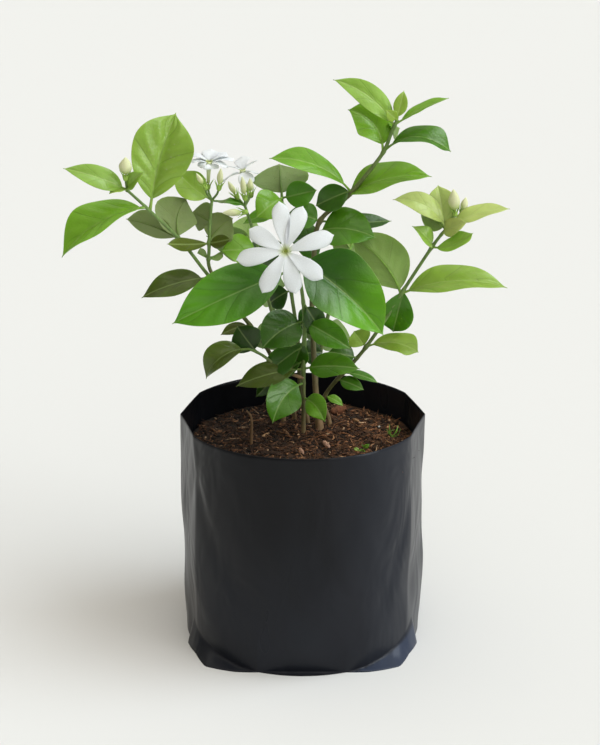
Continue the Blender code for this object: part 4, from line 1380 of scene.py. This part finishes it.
@dataclass
class NurseryBag:
    """The film bag: round at its mouth, square and folded flat at its base.

    The ears are the folded corners: their angles from the front, how far out they reach on
    the floor there, and how high their crease is. A sag is its angle, its lowest height, how
    fast it climbs to the left and right, its depth and its width.
    """

    palette: Palette
    height: float = 113.0
    wall: float = 0.5
    base_half_width: float = 58.5
    base_half_depth: float = 54.5
    base_dish: float = 0.35
    floor_rise: float = 0.9
    taper_height: float = 28.0
    gusset_angle: float = 30.0
    slack: float = 0.3
    slow_wave: float = 0.26
    slant_fold: float = 0.24
    fine_fold: float = 0.08
    firm_rim: float = 36.0
    ear_angles: tuple = (21.0, 31.4, 44.3, 56.0, 68.0, 74.0)
    ear_outline: tuple = (58.4, 63.3, 67.7, 63.2, 61.5, 58.5)
    ear_creases: tuple = (0.0, 0.7, 3.5, 7.8, 14.0, 0.0)
    sag_reach: float = 60.0
    sags: tuple = (
        (-114.0, 42.0, 0.04, 0.018, 1.0, 12.0), (-66.0, 20.0, 0.02, 0.05, 0.6, 10.0),
        (-20.0, 40.0, 0.03, 0.03, 0.5, 12.0), (40.0, 34.0, 0.03, 0.02, 0.9, 12.0),
        (95.0, 28.0, 0.02, 0.04, 1.2, 10.0), (160.0, 42.0, 0.03, 0.02, 0.5, 12.0),
    )
    steps: int = 288
    levels: int = 120

    def radius(self, turn: np.ndarray, height: np.ndarray) -> np.ndarray:
        """The film's outer radius.

        The mouth is a circle with two flats on each side, between the folds at the side and
        at the gusset angle from it. The foot is a circle cut off flat in front and behind. A
        sine of the height blends them, and the slack adds a slow wave.

        Args:
            turn: the angle from +X, in radians.
            height: the height above the floor.

        Returns:
            The radius at each point.
        """
        half = BAG_WIDTH / 2
        from_side = np.abs((np.degrees(turn) + 90) % 180 - 90)
        facet = self.gusset_angle / 2
        flat = math.cos(math.radians(facet)) / np.cos(np.radians(from_side - facet))
        upper = np.where(from_side < self.gusset_angle, half * flat, half)
        cut = self.base_half_depth / np.maximum(np.abs(np.sin(turn)), 0.1)
        lower = np.minimum(self.base_half_width, cut)
        share = np.sin(np.minimum(height / self.taper_height, 1.0) * np.pi / 2)
        return mixed(lower, upper, share) + self.slack * np.sin(5 * turn + height / 17) * share

    def eared(self, turn: np.ndarray, height: np.ndarray) -> np.ndarray:
        """The outer radius with the four folded corners that stand out at the foot.

        Below a corner's crease the radius grows straight from the wall's at the crease to
        the corner's outline on the floor.

        Args:
            turn: the angle from +X, in radians.
            height: the height above the floor.

        Returns:
            The radius at each point.
        """
        from_front = 90 - np.abs((np.degrees(turn) + 90) % 180 - 90)
        crease = np.interp(from_front, self.ear_angles, self.ear_creases, left=0.0, right=0.0)
        outline = np.interp(from_front, self.ear_angles, self.ear_outline)
        share = np.clip(1 - height / np.maximum(crease, 0.01), 0, 1)
        wall, top = self.radius(turn, height), self.radius(turn, crease)
        return np.where(share > 0, np.maximum(wall, mixed(top, outline, share)), wall)

    def wrinkles(self, turn: np.ndarray, height: np.ndarray) -> np.ndarray:
        """Sags, slow hollows and slanting folds of the film, gentler near the mouth.

        A sag is a valley with the profile of a bell curve across it. Its line is lowest in
        its middle and climbs with the square of the angle from there, faster on one side.

        Args:
            turn: the angle from +X, in radians.
            height: the height above the floor.

        Returns:
            How far the film stands off its plain form at each point.
        """
        sags = 0.0
        for middle, low, left, right, deep, wide in self.sags:
            away = (np.degrees(turn) - middle + 180) % 360 - 180
            line = low + np.where(away < 0, left, right) * away**2
            bell = deep * np.exp(-(((height - line) / wide) ** 2))
            sags = sags - bell * np.exp(-((away / self.sag_reach) ** 4))
        slow = self.slow_wave * np.sin(3 * turn + height / 21 + 0.6) * np.sin(height / 24 + 2 * turn)
        slant = self.slant_fold * np.sin(9 * turn - height / 9) * np.exp(-(((height - 30) / 26) ** 2))
        fine = self.fine_fold * np.sin(17 * turn + height / 6 + 1.3 * np.sin(height / 19))
        return (sags + slow + slant + fine) * smooth_step(0.0, 10.0, height)

    def make(self) -> None:
        """Makes the bag as one closed skin: base, outer wall, rim, inner wall and floor.

        The tone is nothing but on the folded corners at the right, where it tells the finish
        how much painted highlight to lay on the film.
        """
        turn, row = full_turn(self.steps), np.ones((1, self.steps))
        run = np.linspace(0, 1, self.levels)[:, None]
        height = (self.height - self.wall / 2) * (0.35 * run + 0.65 * run**2)
        plain, eared = self.radius(turn, height), self.eared(turn, height)
        loose = self.wrinkles(turn, height) * smooth_step(0, self.firm_rim, self.height - height)
        outer = eared + loose
        inner = (plain + loose)[::-1] - self.wall
        base = np.linspace(0.05, 0.97, 9)[:, None]
        radii = np.concatenate((
            base * outer[:1], outer, outer[-1:] - self.wall / 2, inner[:-1], base[::-1] * inner[-1:],
        ))
        heights = np.concatenate((
            self.base_dish * (1 - base**4), height, ((self.height,),),
            np.maximum(height[:0:-1], self.floor_rise), np.full_like(base, self.floor_rise),
        ))
        rings = np.stack((radii * np.cos(turn), radii * np.sin(turn), heights * row), axis=-1)
        tone = np.zeros((*rings.shape[:2], 3))
        # Where the painted highlight lies: on the corners that stand out, towards the right.
        folded = smooth_step(0.3, 1.3, eared - plain) * smooth_step(0.2, 0.5, np.cos(turn))
        tone[len(base):len(base) + self.levels] = folded[..., None]
        make_piece("nursery_bag", "film", [loft(rings, tone)], [self.palette.film])


@dataclass(frozen=True)
class Lump:
    """A loose thing on the mix: the pixels of its ends, its width and its colour."""

    ends: tuple
    width: float
    colour: str

    def skin(self, draw: np.random.Generator) -> Surface:
        """The lump as an uneven rod, whose radius follows a half circle along it.

        Args:
            draw: the source of its unevenness.

        Returns:
            The rod.
        """
        near, far = (soil_spot(*end) for end in self.ends)
        run = np.linspace(-0.97, 0.97, 12)
        path = (near + far) / 2 + np.outer(run / 2, far - near)
        path[:, 2] += 0.3 * self.width
        radius = self.width / 2 * np.sqrt(1 - run**2) * draw.uniform(0.85, 1.1, len(run))
        return rod(path, radius, linear_colour(self.colour), finish=0, sides=9)


@dataclass(frozen=True)
class Litter:
    """Chips or fibres: how many, their least and greatest sizes, and where their rings are."""

    count: int
    length: tuple
    width: tuple
    thick: tuple
    stations: tuple = (-1.0, 0.0, 1.0)


LUMPS = (
    Lump(((331.0, 415.5), (346.5, 409.0)), 4.4, "#6e4229"),
    Lump(((378.4, 427.6), (379.8, 426.6)), 0.9, "#f0ece4"),
    Lump(((323.0, 446.0), (329.5, 452.0)), 2.4, "#b48c76"),
    Lump(((299.5, 452.5), (303.5, 458.0)), 2.0, "#a27c66"),
    Lump(((352.0, 421.0), (360.0, 424.5)), 1.9, "#94704f"),
    Lump(((262.0, 440.5), (269.5, 437.0)), 1.6, "#9a7857"),
    Lump(((358.0, 428.0), (371.0, 433.0)), 1.7, "#8a6342"),
    Lump(((283.0, 434.0), (289.0, 440.0)), 1.8, "#7c5a3d"),
)

GRASS_FOOT = (391.5, 437.0)
WEEDS = (
    (GRASS_FOOT, Leaf(0.0, (386.0, 429.0), -2, 0.9, 20)),
    (GRASS_FOOT, Leaf(0.0, (389.5, 424.5), 1, 0.9, -30, Tone.FRESH)),
    (GRASS_FOOT, Leaf(0.0, (398.0, 425.0), 2, 1.0, 30, Tone.FRESH, arch=0.2)),
    (GRASS_FOOT, Leaf(0.0, (400.5, 428.5), -2, 0.8, 60, arch=0.2)),
    ((387.5, 434.5), Leaf(0.0, (395.0, 429.5), -1, 0.9, -60)),
    ((363.0, 450.0), Leaf(0.0, (369.5, 444.0), -1, 2.4, 10, Tone.FRESH)),
    ((363.0, 450.0), Leaf(0.0, (362.0, 444.5), 1, 1.8, -20)),
    ((360.0, 452.5), Leaf(0.0, (353.5, 448.5), 0, 2.0, 20, Tone.YOUNG)),
    ((364.5, 453.0), Leaf(0.0, (360.0, 449.0), -2, 1.8, -20, Tone.FRESH)),
)


@dataclass
class PottingMix:
    """The mix: a crumbly mound with loose bark chips and coir fibres on it."""

    palette: Palette
    bag: NurseryBag
    rings: int = 70
    steps: int = 260
    inset: float = 1.6
    side_heights: tuple = (1.3, 12.0, 25.0, 40.0, 70.0, 90.0)
    side_gaps: tuple = (0.0, 2.6, 2.6, 2.6, 2.6, 1.2)
    bare_rim: float = 4.5
    roughness: float = 0.7
    lump_height: float = 0.9
    crumb_height: float = 0.6
    grit_height: float = 0.35
    slant: float = 0.28
    tilt: float = 0.3
    bow: float = 0.14
    seed: int = 5
    litter: tuple = (
        Litter(2300, (1.0, 3.6), (0.7, 1.9), (0.5, 1.4)),
        Litter(1300, (2.0, 7.5), (0.7, 2.1), (0.4, 1.2)),
        Litter(560, (5.0, 15.0), (0.25, 0.6), (0.25, 0.5), (-1.0, -0.5, 0.0, 0.5, 1.0)),
    )
    # Painted shade: the mix is painted darker in its hollows than on its crests.
    hollow_shade: str = "#150d05"
    crest: str = "#523620"
    browns: tuple = ("#21140b", "#3c2516", "#583a25", "#744d32", "#936947", "#b99775")
    weights: tuple = (0.24, 0.3, 0.24, 0.14, 0.06, 0.02)

    def bumps(self, x: np.ndarray, y: np.ndarray) -> np.ndarray:
        """Crumbs and lumps: sines of several directions and sizes, each warping the next.

        Args:
            x: the places' distances to the right of the middle.
            y: their distances behind it.

        Returns:
            How far the mix stands off its smooth mound.
        """
        warp = np.sin(x / 3.1 + 1.7) + np.cos(y / 2.7 - 0.4)
        lumps = self.lump_height * np.sin(x / 5.3 + 0.8 * warp) * np.cos(y / 4.7 - 0.5 * warp)
        crumbs = self.crumb_height * np.sin(x / 1.7 + 2.1 * warp + y / 2.9) * np.sin(y / 1.5 - 1.4 * warp)
        grit = self.grit_height * np.sin(x / 0.62 + 3 * crumbs) * np.sin(y / 0.55 + 2 * lumps)
        return self.roughness * (lumps + crumbs + grit)

    def painted_side_shade(self, x: np.ndarray) -> np.ndarray:
        """Painted shade and light on the mix: darker on the left, as in the plant's shadow, and lighter
        towards the right.
        """
        return 0.52 + 0.95 * smooth_step(-38.0, 42.0, x)

    def body(self) -> Surface:
        """The mound, its side against the film, and its flat floor."""
        turn = full_turn(self.steps)
        share = np.linspace(1.0, 0.012, self.rings)[:, None]
        radius = (self.bag.radius(turn, np.full((1, 1), SOIL_HEIGHT)) - self.inset) * share
        x, y = radius * np.cos(turn), radius * np.sin(turn)
        top = soil_top(x, y) + self.bumps(x, y) * smooth_step(0.0, 0.04, 1 - share)
        side, gaps = (np.array(values)[:, None] for values in (self.side_heights, self.side_gaps))
        radii = np.concatenate((self.bag.radius(turn, side) - self.inset - gaps, radius))
        heights = np.concatenate((side * np.ones_like(turn), top))
        rings = np.stack((radii * np.cos(turn), radii * np.sin(turn), heights), axis=-1)
        # Painted shade in the hollows between the crumbs, lighter on their crests.
        crest = smooth_step(-0.8, 1.4, self.bumps(rings[..., 0], rings[..., 1])[..., None])
        tone = mixed(linear_colour(self.hollow_shade), linear_colour(self.crest), crest)
        # Painted shade on the left of the mix.
        return loft(rings, tone * self.painted_side_shade(rings[..., :1]))

    def scattered(self, count: int, draw: np.random.Generator) -> tuple:
        """Places on the mound, spread evenly over it, with a colour for each.

        Args:
            count: how many.
            draw: the source of their places.

        Returns:
            The places, as (n, 3), and the colours, as (n, 3).
        """
        turn = draw.uniform(0, 2 * np.pi, count)
        radius = np.sqrt(draw.uniform(0, 1, count)) * (BAG_WIDTH / 2 - self.bare_rim)
        x, y = radius * np.cos(turn), radius * np.sin(turn)
        picked = draw.choice(len(self.browns), count, p=self.weights)
        colours = np.array([linear_colour(code) for code in self.browns])[picked]
        # Painted shade on the chips on the left of the mix.
        colours = colours * draw.uniform(0.75, 1.3, (count, 1)) * self.painted_side_shade(x)[:, None]
        return np.stack((x, y, soil_top(x, y) + self.bumps(x, y)), axis=-1), colours

    def slivers(self, kind: Litter, draw: np.random.Generator) -> Surface:
        """Many small chips or fibres in one skin.

        Each is a four-sided sliver that lies near the mound's surface at its own slant, with
        a ring at each station and a width that swells in its middle.

        Args:
            kind: how many, and of what sizes.
            draw: the source of their sizes and places.

        Returns:
            All of them as one surface.
        """
        count, station = kind.count, np.array(kind.stations)
        place, colour = self.scattered(count, draw)
        heading = draw.uniform(0, 2 * np.pi, count)
        pitch = draw.normal(0, self.slant, count)
        ahead = (np.cos(heading) * np.cos(pitch), np.sin(heading) * np.cos(pitch), np.sin(pitch))
        ahead = np.stack(ahead, axis=-1)
        rough = (draw.normal(0, self.tilt, count), draw.normal(0, self.tilt, count), np.ones(count))
        aside = unit(np.cross(np.stack(rough, axis=-1), ahead))
        up = np.cross(ahead, aside)
        long, wide, high = (draw.uniform(*size, count) / 2 for size in (kind.length, kind.width, kind.thick))
        swell = (1 - 0.75 * station**2)[None, :] * draw.uniform(0.7, 1.2, (count, len(station)))
        bow = draw.normal(0, self.bow, count)
        line = place[:, None] + (long[:, None] * station)[..., None] * ahead[:, None]
        bent = (long * bow)[:, None, None] * (station**2)[None, :, None]
        line = line + bent * (aside + 0.5 * up)[:, None]
        line[..., 2] += (0.35 * high)[:, None]
        corners = np.array(((1, 0.25), (0.2, 1), (-1, -0.1), (-0.1, -1)))
        around = (corners[:, 0, None] * wide[:, None, None, None] * aside[:, None, None]
                  + corners[:, 1, None] * high[:, None, None, None] * up[:, None, None])
        rings = line[:, :, None] + around * swell[..., None, None]
        ends = np.stack((rings[:, 0].mean(1), rings[:, -1].mean(1)), axis=1)
        points = np.concatenate((rings.reshape(count, -1, 3), ends), axis=1)
        pattern = loft(rings[0], colour[0])
        step = (np.arange(count) * points.shape[1])[:, None, None]
        quads, fans = (pattern.quads + step).reshape(-1, 4), (pattern.fans + step).reshape(-1, 3)
        tone = np.repeat(colour, points.shape[1], axis=0)
        return Surface(points.reshape(-1, 3), quads, fans, tone, np.zeros((len(tone), 4))).outward()

    def make(self) -> None:
        """Makes the mix, which stands for its solid, and the weeds that grow in it."""
        draw = np.random.default_rng(self.seed)
        skins = [self.body()] + [self.slivers(kind, draw) for kind in self.litter]
        skins += [lump.skin(draw) for lump in LUMPS]
        make_piece("potting_mix", "crumbs", skins, [self.palette.mix])
        weeds = []
        for foot, leaf in WEEDS:
            weeds += LeafForm(leaf, soil_spot(*foot)).skins(draw)
        make_piece("potting_mix", "weeds", weeds, [self.palette.leaf, self.palette.bark])


@dataclass
class DeadTwig:
    """A dry twig that stands in the mix, bent over at its top."""

    palette: Palette
    foot: tuple = (-25.0, -8.0)
    points: tuple = ((251.5, 419, -8), (246.5, 410.5, -7))
    diameter: float = 1.8
    colour: str = "#6a5237"

    def make(self) -> None:
        """Makes the twig as a rod that thins to its broken end."""
        joint = np.linspace(0, 3, 46)
        path = along_points(rooted(self.foot, self.points), joint)
        radius = self.diameter / 2 * np.interp(joint, (0, 1.5, 3), (1.0, 0.8, 0.45))
        skin = rod(path, radius, linear_colour(self.colour), finish=0)
        make_piece("dead_twig", "bark", [skin], [self.palette.bark])


@dataclass(frozen=True)
class Lamp:
    """A wide soft lamp, far away.

    Softness is how wide it looks, azimuth where it stands, from 0 behind the camera to 90 at
    the right, and elevation its height above the horizon, all in degrees.
    """

    name: str
    strength: float
    softness: float
    azimuth: float
    elevation: float
    colour: tuple

    def make(self) -> None:
        """Makes the lamp, turned to the plant."""
        light = bpy.data.lights.new(self.name, "SUN")
        light.color = self.colour
        light.energy = self.strength
        light.angle = math.radians(self.softness)
        turn = (math.radians(90 - self.elevation), 0.0, math.radians(self.azimuth))
        add_object(self.name, light).rotation_euler = turn


@dataclass
class Studio:
    """The pale floor and the soft light of the photograph."""

    floor_size: float = 12.0
    backdrop: str = "#efede9"
    board: str = "#dededd"
    sky: tuple = (1.0, 0.945, 0.84, 1.0)
    low_sky: float = 0.16
    high_sky: float = 0.36
    right_sky: float = 0.14
    lamps: tuple = (
        Lamp("key", 1.25, 32.0, azimuth=94.0, elevation=53.0, colour=(0.8, 0.91, 1.0)),
        Lamp("gloss", 1.35, 80.0, azimuth=40.0, elevation=54.0, colour=(1.0, 0.975, 0.92)),
        Lamp("pane", 1.0, 26.0, azimuth=58.0, elevation=14.0, colour=(0.88, 0.95, 1.0)),
        Lamp("top", 0.4, 50.0, azimuth=-150.0, elevation=72.0, colour=(1.0, 0.96, 0.88)),
    )

    def make(self) -> None:
        """Makes the floor, the sky and the lamps."""
        self.make_floor()
        self.make_sky()
        for lamp in self.lamps:
            lamp.make()

    def make_floor(self) -> None:
        """A wide flat sheet of pale matt board."""
        half = self.floor_size / 2
        mesh = bpy.data.meshes.new("floor")
        corners = [(-half, -half, 0), (half, -half, 0), (half, half, 0), (-half, half, 0)]
        mesh.from_pydata(corners, [], [(0, 1, 2, 3)])
        board = Finish("board_painted", 0.95, gloss=0.0).make()
        feed(board.node_tree.nodes["Principled BSDF"], {"Base Color": opaque(self.board)})
        mesh.materials.append(board)
        add_object("floor", mesh)

    def make_sky(self) -> None:
        """A sky that is brighter above and to the right, seen in the backdrop's colour."""
        world = bpy.data.worlds.new("studio")
        bpy.context.scene.world = world
        world.use_nodes = True
        tree = world.node_tree
        tree.nodes.clear()
        ray = add_node(tree, "LightPath", out="Is Camera Ray")
        way = add_node(tree, "TexCoord", out="Generated")
        axes = add_node(tree, "SeparateXYZ", {0: way}).node.outputs
        above = add_node(
            tree, "MapRange",
            {"Value": axes["Z"], "To Min": self.low_sky, "To Max": self.high_sky + self.low_sky},
        )
        right = add_node(tree, "MapRange", {"Value": axes["X"], "To Min": 0.0, "To Max": self.right_sky})
        level = add_node(tree, "Math", {0: above, 1: right}, operation="ADD")
        light = add_node(tree, "Background", {"Color": self.sky, "Strength": level})
        seen = add_node(tree, "Background", {"Color": opaque(self.backdrop), "Strength": 1.0})
        both = add_node(tree, "MixShader", {0: ray, 1: light, 2: seen})
        add_node(tree, "OutputWorld", {0: both})


def main() -> None:
    """Builds the plant piece by piece."""
    logging.basicConfig(level=logging.INFO, format="%(message)s")
    bpy.context.scene.view_settings.view_transform = "Standard"
    VIEW.make_camera()
    palette = Palette()
    bag = NurseryBag(palette)
    bag.make()
    PottingMix(palette, bag).make()
    for number, stem in enumerate(STEMS):
        stem.make(number, palette)
    for kind in (Flower, Bud):
        for stem in STEMS:
            for bloom in stem.blooms:
                if isinstance(bloom, kind):
                    bloom.make(palette)
    DeadTwig(palette).make()
    Studio().make()


if __name__ == "__main__":
    main()
